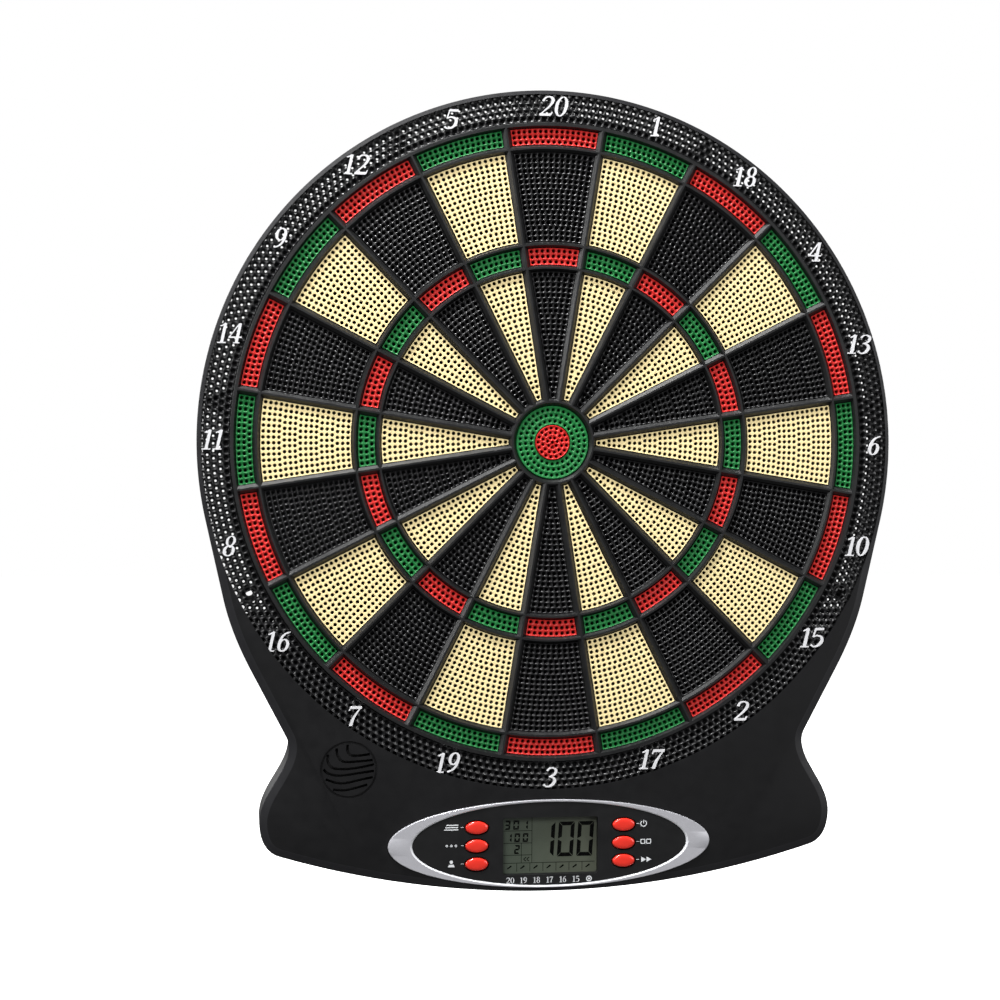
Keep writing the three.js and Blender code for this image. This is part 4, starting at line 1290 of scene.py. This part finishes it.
CELL_COPPER = metal("cell_copper", (0.72, 0.38, 0.2), 0.25)
CELL_PRINT = plastic("cell_print", (0.5, 0.52, 0.55), 0.3, grain=1.2, relief=0.004)
# Radius and distance from the flat end of a cell, and the material of the band that follows
CELL_PROFILE = [
    (5.4, 0, 1), (5.4, 0.3, 0), (6.5, 0.3, 0), (6.9, 0.5, 0), (7.0, 1.0, 0), (7.0, 8, 3), (7.0, 9.2, 0),
    (7.0, 31, 3), (7.0, 32, 2), (7.0, 46.8, 2), (6.8, 47.6, 2), (6.1, 48.2, 0), (4.0, 48.3, 1),
    (3.9, 48.1, 1), (2.7, 48.1, 1), (2.7, 49.2, 1), (2.3, 49.7, 1),
]


def cell_skin(name):
    """A battery cell along X: its flat end on the spring, its raised end away from it."""
    low, high = node_box(name)
    middle = (low + high) / 2
    away = 1 if node_middle(name.replace("cell", "spring"))[0] < middle.x else -1
    flat_end = low.x if away > 0 else high.x
    rings = [[(flat_end + away * along, middle.y + y, middle.z + z) for y, z in circle(radius, 40)]
             for radius, along, _ in CELL_PROFILE]
    if away > 0:
        rings = [ring[::-1] for ring in rings]
    skin = Skin()
    add_loft(skin, rings, slots=[band for _, _, band in CELL_PROFILE])
    return skin


for i in (1, 2, 3):
    name = f"battery_cell_{i}"
    show(cell_skin(name), name + "_wrap", [CELL_WRAP, NICKEL, CELL_COPPER, CELL_PRINT], 40,
         replaces=[name])


# ---- CAD pieces that keep their shape
KEPT = {
    RUBBER: ["impact_mat", "speaker"],
    FILM: ["switch_membrane"],
    hardboard(): ["backing_plate"],
    circuit_board(): ["control_board"],
    SILICONE: ["button_pad"],
    NICKEL: ["battery_spring_1", "battery_spring_2", "battery_spring_3", "contact_link_left",
             "contact_link_right", "contact_terminal_left", "contact_terminal_right"],
    LENS: ["display_window"],
}
for material, names in KEPT.items():
    for name in names:
        for kept_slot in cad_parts[name].material_slots:
            kept_slot.material = material


# ---- floor, lights and camera
low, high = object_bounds()
floor_mesh = bpy.data.meshes.new("floor")
reach, floor_z = 6.0, low.z - 0.16
floor_mesh.from_pydata([(x, y, floor_z) for x, y in bar(-reach, reach, -reach, reach)], [], [(0, 1, 2, 3)])
pale = Look("floor_pale")
floor_mesh.materials.append(pale.finish({
    "Base Color": pale.blend(pale.spread(pale.noise(300.0), 0.0, 1.0), (0.9, 0.9, 0.9), (0.93, 0.93, 0.93)),
    "Roughness": 0.9,
    "Emission Color": (1, 1, 1),
    "Emission Strength": 0.86,
}))
floor = bpy.data.objects.new("floor", floor_mesh)
bpy.context.scene.collection.objects.link(floor)
floor.visible_diffuse = False
floor.visible_glossy = False


# Name, place, height it points at above the bull, diameter and power of each lamp, in metres and watts
LAMPS = [
    ("key", (-0.6, -1.7, 1.0), 0, 0.8, 21),
    ("top_front", (-0.5, -0.6, 1.5), 0, 0.4, 8),
    ("top", (-0.35, -0.42, 1.5), 0, 0.35, 36),
    ("left", (-1.5, -0.35, 0.5), 0, 0.4, 8),
    ("right", (1.4, -1.3, 0.2), -0.05, 1.0, 9),
    ("back_left", (-1.4, 1.5, 0.7), 0, 1.0, 30),
    ("back_right", (1.3, 1.6, 0.5), 0, 1.0, 20),
]
for name, location, aim, size, power in LAMPS:
    light = bpy.data.lights.new(name, "AREA")
    light.shape = "DISK"
    light.size = size
    light.energy = power
    lamp = bpy.data.objects.new(name, light)
    lamp.location = location
    lamp.rotation_mode = "QUATERNION"
    lamp.rotation_quaternion = (Vector((0, 0, aim)) - Vector(location)).to_track_quat("-Z", "Y")
    bpy.context.scene.collection.objects.link(lamp)

# White behind the object, and a dimmer soft light from every side
world = bpy.data.worlds.new("studio")
world.use_nodes = True
bpy.context.scene.world = world
nodes, links = world.node_tree.nodes, world.node_tree.links
bright, dim = nodes["Background"], nodes.new("ShaderNodeBackground")
for background, strength in ((bright, 1.0), (dim, 0.16)):
    background.inputs["Color"].default_value = (1, 1, 1, 1)
    background.inputs["Strength"].default_value = strength
chooser = nodes.new("ShaderNodeMixShader")
links.new(nodes.new("ShaderNodeLightPath").outputs["Is Camera Ray"], chooser.inputs[0])
links.new(dim.outputs[0], chooser.inputs[1])
links.new(bright.outputs[0], chooser.inputs[2])
links.new(chooser.outputs[0], nodes["World Output"].inputs["Surface"])

bpy.context.scene.view_settings.view_transform = "Standard"

CAMERA_EYE = Vector((-167.06, -971.67, -21.38)) * MM
CAMERA_TARGET = Vector((-25.17, 0, -32.0)) * MM
CAMERA_ROLL = 0.336 * DEGREE
camera_data = bpy.data.cameras.new("camera")
camera_data.lens = 62.8
camera_data.sensor_width = 36
camera = bpy.data.objects.new("camera", camera_data)
camera.location = CAMERA_EYE
camera.rotation_mode = "QUATERNION"
camera.rotation_quaternion = ((CAMERA_TARGET - CAMERA_EYE).to_track_quat("-Z", "Y")
                              @ Quaternion((0, 0, 1), CAMERA_ROLL))
bpy.context.scene.collection.objects.link(camera)
bpy.context.scene.camera = camera
